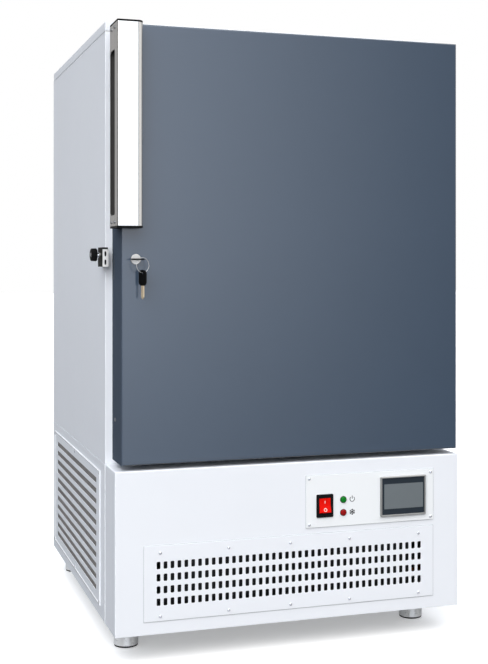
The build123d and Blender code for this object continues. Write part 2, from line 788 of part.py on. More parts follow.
with BuildPart() as lock_cylinder:
    with BuildSketch(facing_front(front_y + plug_length)):
        with Locations((lock_x, lock_z)):
            Circle(lock_plug_radius)
    extrude(amount=plug_length + lock_face_proud - cylinder_recess)
    with BuildSketch(facing_front(front_y + plug_length)):
        with Locations((lock_x, lock_z)):
            Circle(tail_radius)
    extrude(amount=-(cam_y[1] - front_y - plug_length))
    with BuildSketch(facing_front(cam_y[1])):
        with Locations((lock_x, lock_z - (cam_length - cam_width / 2) / 2)):
            SlotOverall(cam_length + cam_width / 2, cam_width, rotation=90)
    extrude(amount=cam_thickness)
    with BuildSketch(facing_front(front_y - lock_face_proud + cylinder_recess)):
        with Locations((lock_x, lock_z)):
            Rectangle(keyway_width, keyway_height)
    extrude(amount=-keyway_depth, mode=Mode.SUBTRACT)
keep(lock_cylinder, "lock_cylinder")

# Keys: one in the lock, the other on the split ring that hangs from its bow
bow_width = 25
bow_length = 33
bow_thickness = 3
bow_corner = 9
bow_standoff = 2
blade_width = 8.6
blade_thickness = 2.2
blade_length = 28
ring_radius = 15.7
ring_wire_radius = 0.8
ring_turn_degrees = 23
ring_hang_degrees = 38
eye_inset = 7
eye_length = 9
eye_width = 6
eye_corner = 1.5
eye_shift = 0.85
spare_eye_radius = 2.4
spare_hang_gap = 0.3

bow_back = front_y - lock_face_proud - bow_standoff
eye = (lock_x, bow_back - bow_length + eye_inset, lock_z)

with BuildPart() as lock_key:
    with BuildSketch(level(lock_z - bow_thickness / 2)):
        with Locations((lock_x, bow_back - bow_length / 2)):
            RectangleRounded(bow_width, bow_length, bow_corner)
        with Locations((eye[0] + eye_shift, eye[1])):
            RectangleRounded(eye_length, eye_width, eye_corner, mode=Mode.SUBTRACT)
    extrude(amount=bow_thickness)
    with BuildSketch(level(lock_z - blade_thickness / 2)):
        with BuildLine():
            Polyline(
                (lock_x - blade_width / 2, bow_back - bow_corner / 2),
                (lock_x + blade_width / 2, bow_back - bow_corner / 2),
                (lock_x + blade_width / 2, bow_back + blade_length - blade_width / 2),
                (lock_x, bow_back + blade_length),
                (lock_x - blade_width / 2, bow_back + blade_length - blade_width / 2),
                close=True,
            )
        make_face()
    extrude(amount=blade_thickness)
keep(lock_key, "lock_key")

ring_turn = radians(ring_turn_degrees)
ring_hang = radians(ring_hang_degrees)
ring_along = Vector(cos(ring_turn), sin(ring_turn), 0)
ring_normal = Vector(sin(ring_turn), -cos(ring_turn), 0)
ring_centre = Vector(eye) + ring_along * (ring_radius * sin(ring_hang)) \
    - Vector(0, 0, ring_radius * cos(ring_hang))
ring_bottom = ring_centre - Vector(0, 0, ring_radius)

with BuildPart() as key_ring:
    with Locations(Plane(ring_centre, x_dir=ring_along, z_dir=ring_normal).location):
        Torus(ring_radius, ring_wire_radius)
keep(key_ring, "key_ring")

spare_eye = ring_bottom - Vector(0, 0, spare_eye_radius - ring_wire_radius - spare_hang_gap)
with BuildPart() as spare_key:
    with BuildSketch(Plane(spare_eye - ring_along * (bow_thickness / 2), x_dir=-ring_normal, z_dir=ring_along)):
        with Locations((0, eye_inset - bow_length / 2)):
            RectangleRounded(bow_width, bow_length, bow_corner)
        Circle(spare_eye_radius, mode=Mode.SUBTRACT)
    extrude(amount=bow_thickness)
    with BuildSketch(Plane(spare_eye - ring_along * (blade_thickness / 2), x_dir=-ring_normal,
                           z_dir=ring_along)):
        with BuildLine():
            Polyline(
                (-blade_width / 2, eye_inset - bow_length + bow_corner / 2),
                (blade_width / 2, eye_inset - bow_length + bow_corner / 2),
                (blade_width / 2, eye_inset - bow_length - blade_length + blade_width / 2),
                (0, eye_inset - bow_length - blade_length),
                (-blade_width / 2, eye_inset - bow_length - blade_length + blade_width / 2),
                close=True,
            )
        make_face()
    extrude(amount=blade_thickness)
keep(spare_key, "spare_key")

# Strike on the cabinet's corner: the cam turns into its pocket, behind the plate
strike_thickness = 12
strike_height = 42
strike_below_lock = 16
strike_root = 20
strike_plate_sheet = 2.5
strike_plate_overhang = 1
strike_plate_height = 38
strike_slot_width = 4
strike_slot_height = 11
strike_slot_pitch = 18
pocket_depth = 6.5
pocket_top_gap = 1.5
strike_knob_radius = 14
strike_knob_length = 17
strike_knob_standoff = 4
strike_knob_setback = 26
strike_knob_up = 26
strike_knob_edge = 3
strike_stud_radius = 4
strike_stud_length = 15
grip_radius = 2
grip_count = 8

strike_x = (-half_width - strike_thickness, -half_width)
strike_y = (slot_y[0], face_y + strike_root)
strike_z = (lock_z - strike_below_lock, lock_z - strike_below_lock + strike_height)
knob_centre = (strike_y[0] + strike_knob_setback, strike_z[0] + strike_knob_up)

with BuildPart() as strike_body:
    block(strike_x, strike_y, strike_z)
    block((strike_x[1] - pocket_depth, strike_x[1] + overrun), (strike_y[0] - overrun, slot_y[1]),
          (strike_z[0] - overrun, lock_z + cam_width / 2 + pocket_top_gap), Mode.SUBTRACT)
keep(strike_body, "strike_body")

with BuildPart() as strike_plate:
    with BuildSketch(facing_front(strike_y[0])):
        window((strike_x[0], strike_x[1] + strike_plate_overhang),
               (strike_z[0], strike_z[0] + strike_plate_height))
        with Locations(((strike_x[0] + strike_x[1]) / 2, strike_z[0] + strike_plate_height / 2)):
            with GridLocations(0, strike_slot_pitch, 1, 2):
                SlotOverall(strike_slot_height, strike_slot_width, rotation=90, mode=Mode.SUBTRACT)
    extrude(amount=strike_plate_sheet)
    with BuildSketch(facing_side(strike_x[0])):
        with Locations(knob_centre):
            Circle(strike_stud_radius)
    extrude(amount=-strike_stud_length)
keep(strike_plate, "strike_plate")

with BuildPart() as strike_knob:
    with BuildSketch(facing_side(strike_x[0] - strike_knob_standoff)):
        with Locations(knob_centre):
            Circle(strike_knob_radius)
            with PolarLocations(strike_knob_radius, grip_count):
                Circle(grip_radius, mode=Mode.SUBTRACT)
    extrude(amount=-strike_knob_length)
    with BuildSketch(facing_side(strike_x[0])):
        with Locations(knob_centre):
            Circle(strike_stud_radius + running_clearance)
    extrude(amount=-strike_stud_length - side_clearance, mode=Mode.SUBTRACT)
keep(strike_knob, "strike_knob")

# Control plate with the rocker switch, two lamps and the display
plate_front = front_y - plate_sheet
rocker_setin = 43.5
rocker_up = 47
rocker_frame_width = 39.6
rocker_frame_height = 51
rocker_frame_proud = 2.5
rocker_case_width = 34
rocker_case_height = 44
rocker_case_depth = 22
rocker_width = 26.5
rocker_radius = 17
rocker_dish_degrees = 9
rocker_centre_height = 5
rocker_back = 6
trunnion_radius = 1.8
trunnion_length = 2.5
fit_gap = 0.3
lamp_setin = 88
lamp_up = (58, 29.3)
lamp_radius = 6.8
lamp_proud = 4
lamp_edge = 3
lamp_stem_radius = 5
lamp_stem = 12
display_setin = 177
display_up = 13.5
display_width = 112
display_height = 90
display_proud = 4
display_border = 3
display_recess = 3
glass_thickness = 2
display_case_inset = 4
display_case_depth = 36

rocker_at = (control_x[0] + rocker_setin, control_z[0] + rocker_up)
rocker_pivot_y = plate_front - rocker_frame_proud + rocker_centre_height
lamp_places = [(control_x[0] + lamp_setin, control_z[0] + up) for up in lamp_up]
display_at = (control_x[0] + display_setin + display_width / 2,
              control_z[0] + display_up + display_height / 2)

with BuildPart() as control_plate:
    with BuildSketch(facing_front(front_y)):
        window(control_x, control_z)
        with Locations(rocker_at):
            Rectangle(rocker_case_width + fit_gap, rocker_case_height + fit_gap, mode=Mode.SUBTRACT)
        with Locations(*lamp_places):
            Circle(lamp_stem_radius + fit_gap, mode=Mode.SUBTRACT)
        with Locations(display_at):
            Rectangle(display_width - 2 * display_case_inset + fit_gap,
                      display_height - 2 * display_case_inset + fit_gap, mode=Mode.SUBTRACT)
    extrude(amount=plate_sheet)
keep(control_plate, "control_plate")

with BuildPart() as rocker_frame:
    with BuildSketch(facing_front(plate_front)):
        with Locations(rocker_at):
            RectangleRounded(rocker_frame_width, rocker_frame_height, rocker_frame_proud)
    extrude(amount=rocker_frame_proud)
    with BuildSketch(facing_front(plate_front)):
        with Locations(rocker_at):
            Rectangle(rocker_case_width, rocker_case_height)
    extrude(amount=-rocker_case_depth)
    with BuildSketch(facing_front(plate_front - rocker_frame_proud)):
        with Locations(rocker_at):
            Rectangle(rocker_width + 2 * fit_gap, 2 * (rocker_radius + fit_gap))
    extrude(amount=-rocker_radius - rocker_frame_proud, mode=Mode.SUBTRACT)
    with Locations((rocker_at[0], rocker_pivot_y, rocker_at[1])):
        Cylinder(trunnion_radius + running_clearance, rocker_width + 2 * trunnion_length + 2 * fit_gap,
                 rotation=(0, 90, 0), mode=Mode.SUBTRACT)
keep(rocker_frame, "rocker_frame")

dish = radians(rocker_dish_degrees)
rocker_tilted = Plane((rocker_at[0] - rocker_width / 2, rocker_pivot_y, rocker_at[1]),
                      x_dir=(0, -cos(dish), sin(dish)), z_dir=(1, 0, 0))
rocker_rim = rocker_centre_height + rocker_radius * tan(dish)
with BuildPart() as rocker_switch:
    with BuildSketch(rocker_tilted):
        Circle(rocker_radius)
        with BuildLine():
            Polyline(
                (-rocker_back, -rocker_radius),
                (rocker_rim, -rocker_radius),
                (rocker_centre_height, 0),
                (rocker_rim, rocker_radius),
                (-rocker_back, rocker_radius),
                close=True,
            )
        make_face(mode=Mode.INTERSECT)
    extrude(amount=rocker_width)
    with Locations((rocker_at[0], rocker_pivot_y, rocker_at[1])):
        Cylinder(trunnion_radius, rocker_width + 2 * trunnion_length, rotation=(0, 90, 0))
keep(rocker_switch, "rocker_switch")

for name, place in zip(("power_lamp", "cooling_lamp"), lamp_places):
    with BuildPart() as lamp:
        with BuildSketch(facing_front(plate_front)):
            with Locations(place):
                Circle(lamp_radius)
        extrude(amount=lamp_proud)
        fillet(lamp.faces().sort_by(Axis.Y)[0].edges(), lamp_edge)
        with BuildSketch(facing_front(plate_front)):
            with Locations(place):
                Circle(lamp_stem_radius)
        extrude(amount=-lamp_stem)
    keep(lamp, name)

with BuildPart() as display_frame:
    with BuildSketch(facing_front(plate_front)):
        with Locations(display_at):
            RectangleRounded(display_width, display_height, display_border)
    extrude(amount=display_proud)
    with BuildSketch(facing_front(plate_front)):
        with Locations(display_at):
            Rectangle(display_width - 2 * display_case_inset, display_height - 2 * display_case_inset)
    extrude(amount=-display_case_depth)
    with BuildSketch(facing_front(plate_front - display_proud)):
        with Locations(display_at):
            Rectangle(display_width - 2 * display_border, display_height - 2 * display_border)
    extrude(amount=-display_recess, mode=Mode.SUBTRACT)
keep(display_frame, "display_frame")

with BuildPart() as display_glass:
    with BuildSketch(facing_front(plate_front - display_proud + display_recess)):
        with Locations(display_at):
            Rectangle(display_width - 2 * display_border - fit_gap,
                      display_height - 2 * display_border - fit_gap)
    extrude(amount=glass_thickness)
keep(display_glass, "display_glass")

# Screws that hold the front plates and the louvred inserts
screw_radius = 3.5
screw_head = 2
grille_screw_shares = (0.052, 0.277, 0.487, 0.694, 0.945)
grille_screw_bottom = 10
grille_screw_top = 15.5
control_screw_inset = 7
louvre_screw_inset = 7
strike_screw_inset = 5.5

grille_screw_places = [
    (grille_x[0] + share * (grille_x[1] - grille_x[0]), z)
    for share in grille_screw_shares
    for z in (grille_z[0] + grille_screw_bottom, grille_z[1] - grille_screw_top)
]
with BuildPart() as panel_screws:
    with BuildSketch(facing_front(front_y - grille_sheet)):
        with Locations(*grille_screw_places):
            Circle(screw_radius)
    extrude(amount=screw_head)
    with BuildSketch(facing_front(plate_front)):
        with Locations(((control_x[0] + control_x[1]) / 2, (control_z[0] + control_z[1]) / 2)):
            with GridLocations(control_width - 2 * control_screw_inset,
                               control_height - 2 * control_screw_inset, 2, 2):
                Circle(screw_radius)
    extrude(amount=screw_head)
    for side in (-1, 1):
        with BuildSketch(facing_side(side * (half_width + louvre_sheet))):
            with Locations(louvre_middle):
                with GridLocations((louvre_y[1] - louvre_y[0]) / 2 - louvre_screw_inset,
                                   louvre_z[1] - louvre_z[0] - 2 * louvre_screw_inset, 3, 2):
                    Circle(screw_radius)
        extrude(amount=side * screw_head)
    with BuildSketch(facing_side(strike_x[0])):
        with Locations(((strike_y[1] - strike_screw_inset), strike_z[0] + strike_screw_inset),
                       ((strike_y[1] - strike_screw_inset), strike_z[1] - strike_screw_inset)):
            Circle(screw_radius)
    extrude(amount=-screw_head)
keep(panel_screws, "panel_screws")

# Refrigeration: condenser and fan behind the front grille
condenser_side_gap = 110
condenser_setback = 21
condenser_depth = 40
condenser_up = 20
condenser_height = 182
core_inset = 5
fin_count = 40
fin_thickness = 1.2
end_plate = 2
bend_radius = 10
bend_tube_radius = 4.5
bend_pitch = 60
bend_count = 3

condenser_half_width = half_width - condenser_side_gap
condenser_y = (front_y + condenser_setback, front_y + condenser_setback + condenser_depth)
condenser_z = (base_z + condenser_up, base_z + condenser_up + condenser_height)
condenser_middle = ((condenser_y[0] + condenser_y[1]) / 2, (condenser_z[0] + condenser_z[1]) / 2)
fin_pitch = (2 * condenser_half_width - fin_thickness) / (fin_count - 1)

with BuildPart() as condenser:
    block((-condenser_half_width, condenser_half_width),
          (condenser_y[0] + core_inset, condenser_y[1] - core_inset),
          (condenser_z[0] + core_inset, condenser_z[1] - core_inset))
    with BuildSketch(facing_front(condenser_y[1])):
        with Locations((0, condenser_middle[1])):
            with GridLocations(fin_pitch, 0, fin_count, 1):
                Rectangle(fin_thickness, condenser_height)
    extrude(amount=condenser_depth)
    for side in (-1, 1):
        block(sorted((side * condenser_half_width, side * (condenser_half_width + end_plate))),
              condenser_y, (tray_top, condenser_z[1] + core_inset))
        for step in range(bend_count):
            bend_z = condenser_middle[1] + (step - 1) * bend_pitch
            bend_at = (side * (condenser_half_width + end_plate), condenser_middle[0], bend_z)
            with BuildSketch(Plane(bend_at, x_dir=(0, 1, 0), z_dir=(1, 0, 0))):
                with Locations((0, bend_radius)):
                    Circle(bend_tube_radius)
            revolve(axis=Axis(bend_at, (0, side, 0)), revolution_arc=180)
keep(condenser, "condenser")

fan_opening_radius = 92
shroud_sheet = 3
shroud_ring = 36
fan_axis_up = 111
bracket_arm = 12
bracket_hub_radius = 36
bracket_arm_count = 3
motor_radius = 34
motor_length = 50
motor_edge = 6
motor_shaft_radius = 4
rotor_setback = 16
fan_hub_radius = 26
fan_hub_length = 18
fan_blade_count = 5
blade_root_radius = 22
blade_tip_gap = 4
blade_root_chord = 30
blade_tip_chord = 62
blade_sheet = 2.5
blade_root_degrees = 48
blade_tip_degrees = 68
shaft_clearance = 2

fan_z = base_z + fan_axis_up
shroud_y = (condenser_y[1], condenser_y[1] + shroud_ring)
rotor_y = shroud_y[0] + rotor_setback
fan_centre = (0, fan_z)
blade_tip_radius = sqrt((fan_opening_radius - blade_tip_gap) ** 2 - (blade_tip_chord / 2) ** 2)

with BuildPart() as fan_shroud:
    with BuildSketch(facing_front(shroud_y[0])):
        window((-condenser_half_width, condenser_half_width), (tray_top, condenser_z[1] + core_inset))
        with Locations(fan_centre):
            Circle(fan_opening_radius, mode=Mode.SUBTRACT)
    extrude(amount=-shroud_sheet)
    with BuildSketch(facing_front(shroud_y[0])):
        with Locations(fan_centre):
            Circle(fan_opening_radius + shroud_sheet)
            Circle(fan_opening_radius, mode=Mode.SUBTRACT)
    extrude(amount=-shroud_ring)
    with BuildSketch(facing_front(shroud_y[1])):
        with Locations(fan_centre):
            Circle(bracket_hub_radius)
            with PolarLocations(fan_opening_radius / 2, bracket_arm_count, start_angle=90):
                Rectangle(fan_opening_radius + shroud_sheet, bracket_arm)
            Circle(motor_shaft_radius + shaft_clearance, mode=Mode.SUBTRACT)
    extrude(amount=shroud_sheet)
keep(fan_shroud, "fan_shroud")

with BuildPart() as fan_motor:
    with BuildSketch(facing_front(shroud_y[1] + motor_length)):
        with Locations(fan_centre):
            Circle(motor_radius)
    extrude(amount=motor_length)
    fillet(fan_motor.faces().sort_by(Axis.Y)[-1].edges(), motor_edge)
    with BuildSketch(facing_front(shroud_y[1])):
        with Locations(fan_centre):
            Circle(motor_shaft_radius)
    extrude(amount=shroud_y[1] - rotor_y + fan_hub_length / 2)
keep(fan_motor, "fan_motor")

with BuildPart() as fan_blade:
    for radius, chord, turn in (
        (blade_root_radius, blade_root_chord, blade_root_degrees),
        (blade_tip_radius, blade_tip_chord, blade_tip_degrees),
    ):
        with BuildSketch(Plane((radius, rotor_y, fan_z), x_dir=(0, 1, 0), z_dir=(1, 0, 0))):
            Rectangle(chord, blade_sheet, rotation=turn)
    loft()

with BuildPart() as fan_rotor:
    with BuildSketch(facing_front(rotor_y + fan_hub_length / 2)):
        with Locations(fan_centre):
            Circle(fan_hub_radius)
    extrude(amount=fan_hub_length)
    for step in range(fan_blade_count):
        add(fan_blade.part.rotate(Axis((0, rotor_y, fan_z), (0, 1, 0)), step * 360 / fan_blade_count))
    with BuildSketch(facing_front(rotor_y + fan_hub_length / 2)):
        with Locations(fan_centre):
            Circle(motor_shaft_radius + running_clearance)
    extrude(amount=fan_hub_length, mode=Mode.SUBTRACT)
keep(fan_rotor, "fan_rotor")

# Two compressors on rubber grommets
grommet_height = 14
grommet_radius = 10
compressor_plate = 3
plate_length = 200
plate_width = 150
plate_corner = 12
grommet_inset = 14
pot_top_edge = 42
pot_foot_edge = 30
weld_flange = 3.5
weld_flange_height = 6
stub_radius = 6
stub_length = 16
stub_up = 130
high_stage = (-150, 60, 80, 200)
low_stage = (140, 80, 86, 214)
compressors = {"high_stage_compressor": high_stage, "low_stage_compressor": low_stage}
plate_bottom = tray_top + grommet_height
pot_bottom = plate_bottom + compressor_plate

for name, (pot_x, pot_y, pot_radius, pot_height) in compressors.items():
    with BuildPart() as compressor:
        with Locations((pot_x, pot_y, pot_bottom)):
            Cylinder(pot_radius, pot_height, align=(Align.CENTER, Align.CENTER, Align.MIN))
        fillet(compressor.edges().group_by(Axis.Z)[-1], pot_top_edge)
        fillet(compressor.edges().group_by(Axis.Z)[0], pot_foot_edge)
        with Locations((pot_x, pot_y, pot_bottom + pot_height / 2)):
            Cylinder(pot_radius + weld_flange, weld_flange_height)
        with BuildSketch(level(plate_bottom)):
            with Locations((pot_x, pot_y)):
                RectangleRounded(plate_length, plate_width, plate_corner)
        extrude(amount=compressor_plate)
        for direction in (-1, 1):
            with BuildSketch(facing_front(pot_y)):
                with Locations((pot_x, pot_bottom + stub_up)):
                    Circle(stub_radius)
            extrude(amount=direction * (pot_radius + stub_length))
    keep(compressor, name)

with BuildPart() as compressor_grommets:
    with BuildSketch(level(tray_top)):
        for pot_x, pot_y, pot_radius, pot_height in compressors.values():
            with Locations((pot_x, pot_y)):
                with GridLocations(plate_length - 2 * grommet_inset, plate_width - 2 * grommet_inset, 2, 2):
                    Circle(grommet_radius)
    extrude(amount=grommet_height)
keep(compressor_grommets, "compressor_grommets")

exchanger_half_width = 150
exchanger_setback = 26
exchanger_depth = 110
exchanger_height = 300
exchanger_edge = 14
exchanger_y = (back_y - exchanger_setback - exchanger_depth, back_y - exchanger_setback)

with BuildPart() as cascade_exchanger:
    block((-exchanger_half_width, exchanger_half_width), exchanger_y, (tray_top, tray_top + exchanger_height))
    fillet(cascade_exchanger.edges().filter_by(Axis.Z), exchanger_edge)
    fillet(cascade_exchanger.faces().sort_by(Axis.Z)[-1].edges(), exchanger_edge)
keep(cascade_exchanger, "cascade_exchanger")

# Copper lines between the compressors, the condenser and the exchanger
line_radius = 5
line_bend = 22
line_run = 60
line_side_gap = 62
line_low = 78
line_jog = 40
drier_radius = 15
drier_length = 110
high_stub_z = pot_bottom + stub_up
low_stub_z = high_stub_z
high_front = high_stage[1] - high_stage[2] - stub_length
high_back = high_stage[1] + high_stage[2] + stub_length
low_front = low_stage[1] - low_stage[2] - stub_length
low_back = low_stage[1] + low_stage[2] + stub_length
line_left = -half_width + line_side_gap
line_right = half_width - line_side_gap
condenser_end = condenser_half_width + end_plate
liquid_z = base_z + line_low
lines = [
    [(high_stage[0], high_front, high_stub_z),
     (high_stage[0], high_front - 2 * line_run, high_stub_z),
     (line_left, high_front - 2 * line_run, high_stub_z),
     (line_left, condenser_middle[0], high_stub_z),
     (-condenser_end, condenser_middle[0], high_stub_z)],
    [(condenser_end, condenser_middle[0], liquid_z),
     (line_right, condenser_middle[0], liquid_z),
     (line_right, exchanger_y[0] + line_run, liquid_z),
     (exchanger_half_width, exchanger_y[0] + line_run, liquid_z)],
    [(high_stage[0], high_back, high_stub_z),
     (high_stage[0], high_back + line_run, high_stub_z),
     (high_stage[0] + line_jog, high_back + line_run, high_stub_z),
     (high_stage[0] + line_jog, exchanger_y[0], high_stub_z)],
    [(low_stage[0], low_back, low_stub_z),
     (low_stage[0], low_back + line_run, low_stub_z),
     (low_stage[0] - line_jog, low_back + line_run, low_stub_z),
     (low_stage[0] - line_jog, exchanger_y[0], low_stub_z)],
    [(low_stage[0], low_front, low_stub_z),
     (low_stage[0], low_front - line_run, low_stub_z),
     (low_stage[0], low_front - line_run, deck_z)],
]

with BuildPart() as refrigerant_lines:
    for points in lines:
        start = Vector(points[0])
        with BuildLine() as route:
            FilletPolyline(*points, radius=min(line_bend, line_jog / 2))
        with BuildSketch(Plane(start, z_dir=Vector(points[1]) - start)):
            Circle(line_radius)
        sweep(path=route.wires()[0])
    with Locations((line_right, (condenser_middle[0] + exchanger_y[0]) / 2, liquid_z)):
        Cylinder(drier_radius, drier_length, rotation=(90, 0, 0))
keep(refrigerant_lines, "refrigerant_lines")

# Levelling feet: the bell turns with its stud, on a rubber pad that doesn't turn
pad_radius = 26.5
pad_thickness = 4
spigot_radius = 8
spigot_length = 2
pad_gap = 0.2
bell_top_gap = 2
bell_edge = 1.5
stud_top_gap = 6
tommy_radius = 3
tommy_depth = 9
tommy_up = 34
bell_bottom = pad_thickness + pad_gap
bell_top = base_z - bell_top_gap
stud_top = pocket_top + nut_height + stud_top_gap

for name, (x, y) in foot_places.items():
    with BuildPart() as foot_pad:
        with Locations((x, y, 0)):
            Cylinder(pad_radius, pad_thickness, align=(Align.CENTER, Align.CENTER, Align.MIN))
        with Locations((x, y, pad_thickness - spigot_length)):
            Cylinder(spigot_radius + running_clearance, spigot_length + overrun, mode=Mode.SUBTRACT,
                     align=(Align.CENTER, Align.CENTER, Align.MIN))
    keep(foot_pad, f"{name}_pad")
    with BuildPart() as foot_bell:
        with Locations((x, y, bell_bottom)):
            Cylinder(foot_radius, bell_top - bell_bottom, align=(Align.CENTER, Align.CENTER, Align.MIN))
        chamfer(foot_bell.edges().group_by(Axis.Z)[-1], bell_edge)
        with Locations((x, y, bell_bottom - spigot_length + pad_gap)):
            Cylinder(spigot_radius, spigot_length, align=(Align.CENTER, Align.CENTER, Align.MIN))
        with Locations((x, y, bell_top)):
            Cylinder(stud_radius, stud_top - bell_top, align=(Align.CENTER, Align.CENTER, Align.MIN))
        with BuildSketch(facing_front(y - foot_radius)):
            with Locations((x, tommy_up)):
                Circle(tommy_radius)
        extrude(amount=-tommy_depth, mode=Mode.SUBTRACT)
    keep(foot_bell, f"{name}_foot")
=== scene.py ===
"""Looks of an upright ultra low temperature freezer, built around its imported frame.

Metres throughout, in the frame's own axes: +X to the right seen from the front, +Y to the back and
+Z up. The door faces -Y.
"""
import logging
import math
from collections.abc import Callable
from dataclasses import dataclass
from enum import Enum
from functools import cached_property

import bmesh
import bpy
from mathutils import Matrix, Vector
from mathutils.bvhtree import BVHTree


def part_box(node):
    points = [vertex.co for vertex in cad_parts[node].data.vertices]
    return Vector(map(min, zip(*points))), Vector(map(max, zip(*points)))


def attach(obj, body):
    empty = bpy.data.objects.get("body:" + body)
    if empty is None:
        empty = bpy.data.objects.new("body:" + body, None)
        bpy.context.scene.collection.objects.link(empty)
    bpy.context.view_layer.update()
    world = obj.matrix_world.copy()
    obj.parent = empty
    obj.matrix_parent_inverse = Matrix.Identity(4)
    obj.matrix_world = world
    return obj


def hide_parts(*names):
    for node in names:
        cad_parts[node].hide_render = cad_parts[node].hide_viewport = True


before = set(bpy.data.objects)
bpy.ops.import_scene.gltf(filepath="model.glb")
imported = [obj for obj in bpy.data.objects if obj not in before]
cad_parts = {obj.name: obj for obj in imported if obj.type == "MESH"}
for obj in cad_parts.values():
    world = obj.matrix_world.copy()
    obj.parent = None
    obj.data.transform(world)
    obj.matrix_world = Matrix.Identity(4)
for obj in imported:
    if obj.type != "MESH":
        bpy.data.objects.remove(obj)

log = logging.getLogger("freezer")

Pair = tuple[float, float]
Triple = tuple[float, float, float]
Value = float | int | bpy.types.Object | bpy.types.Material
Inputs = dict[str | int, object]

IMAGE_WIDTH = 488
IMAGE_HEIGHT = 664
TINY = 1e-6
FLAT_DEGREES = 0.5
CORNER_DEGREES = 38
SHARP_DEGREES = 32
RIM_SHARE = 0.9
FLUTE_FACES = 4
SLOT_CORNER_FACES = 4
WIRE_FACES = 5
WHITE_LIGHT = (1, 1, 1, 1)
NOISE_SPAN = (0.3, 0.7)
GLOSS_PATCH = 9
STREAK_DETAIL = 4
PATCH_DETAIL = 3
RELIEF_DETAIL = 2
BRUSHED = 0.02


def paint(red: int, green: int, blue: int) -> Triple:
    """Linear colour of a red, green and blue given from 0 to 255 as a screen shows them."""
    shares = (red / 255, green / 255, blue / 255)
    return tuple(s / 12.92 if s <= 0.04045 else ((s + 0.055) / 1.055) ** 2.4 for s in shares)


class Box:
    """The box of a frame node at rest."""

    def __init__(self, node: str) -> None:
        """Measures a node.

        Args:
            node: The node's name.
        """
        self.low, self.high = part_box(node)
        self.middle = (self.low + self.high) / 2
        self.size = self.high - self.low


class Side(Enum):
    """A side of the freezer that a flat piece faces, as the axes of a sheet laid against it."""

    FRONT = ((1, 0, 0), (0, 0, 1), (0, -1, 0))
    BACK = ((-1, 0, 0), (0, 0, 1), (0, 1, 0))
    LEFT = ((0, -1, 0), (0, 0, 1), (-1, 0, 0))
    RIGHT = ((0, 1, 0), (0, 0, 1), (1, 0, 0))
    TOP = ((1, 0, 0), (0, 1, 0), (0, 0, 1))

    def at(self, x: float, y: float, z: float) -> Matrix:
        """Matrix that lays a sheet drawn in X and Y on this side, rising outwards from a point."""
        place = Matrix(self.value).transposed().to_4x4()
        place.translation = (x, y, z)
        return place

    def on(self, box: Box, rise: float = 0.0, across: float = 0.0, up: float = 0.0) -> Matrix:
        """Matrix that lays a sheet on the middle of a box's face on this side.

        Args:
            box: The box.
            rise: How far outside the face the sheet lies.
            across: How far it is moved along its own X.
            up: How far it is moved along its own Y.

        Returns:
            The matrix.
        """
        outwards = Vector(self.value[2])
        face = box.middle + outwards * (abs(box.size.dot(outwards)) / 2)
        return self.at(*face) @ Matrix.Translation((across, up, rise))


FLANKS = ((Side.LEFT, "left"), (Side.RIGHT, "right"))


class Grain(Enum):
    """The fine relief of a surface."""

    PEEL = "powder coat"
    BRUSHED_X = "brushed along X"
    BRUSHED_Z = "brushed along Z"
    MOULDED = "spark-eroded mould"
    CELLS = "foam cells"
    SMOOTH = "smooth"


EVEN = (1.0, 1.0, 1.0)
STRETCH = {Grain.BRUSHED_X: (BRUSHED, 1.0, 1.0), Grain.BRUSHED_Z: (1.0, 1.0, BRUSHED)}


class Nodes:
    """A node tree that is built one node at a time."""

    def __init__(self, tree: bpy.types.NodeTree) -> None:
        """Takes a tree.

        Args:
            tree: The tree.
        """
        self.tree = tree

    def add(self, kind: str, inputs: Inputs | None = None, **settings: object) -> bpy.types.Node:
        """Adds a node.

        Args:
            kind: Blender's name for the node.
            inputs: Values or sockets for its inputs, by name or number, or a list of sockets for one.
            settings: Values for its properties.

        Returns:
            The node.
        """
        node = self.tree.nodes.new(kind)
        for name, value in settings.items():
            setattr(node, name, value)
        for key, value in (inputs or {}).items():
            for one in value if isinstance(value, list) else [value]:
                self.feed(node.inputs[key], one)
        return node

    def feed(self, target: bpy.types.NodeSocket, value: object) -> None:
        """Links a socket to an input, or sets a value on it."""
        if isinstance(value, bpy.types.NodeSocket):
            self.tree.links.new(value, target)
        else:
            target.default_value = value

    def math(self, operation: str, first: object, second: object) -> bpy.types.NodeSocket:
        """The result of an operation on two values."""
        return self.add("ShaderNodeMath", {0: first, 1: second}, operation=operation).outputs[0]

    def ranged(self, value: bpy.types.NodeSocket, start: Pair, to: Pair) -> bpy.types.NodeSocket:
        """Maps a value from one span to another."""
        spans = {"From Min": start[0], "From Max": start[1], "To Min": to[0], "To Max": to[1]}
        return self.add("ShaderNodeMapRange", {"Value": value, **spans}).outputs["Result"]


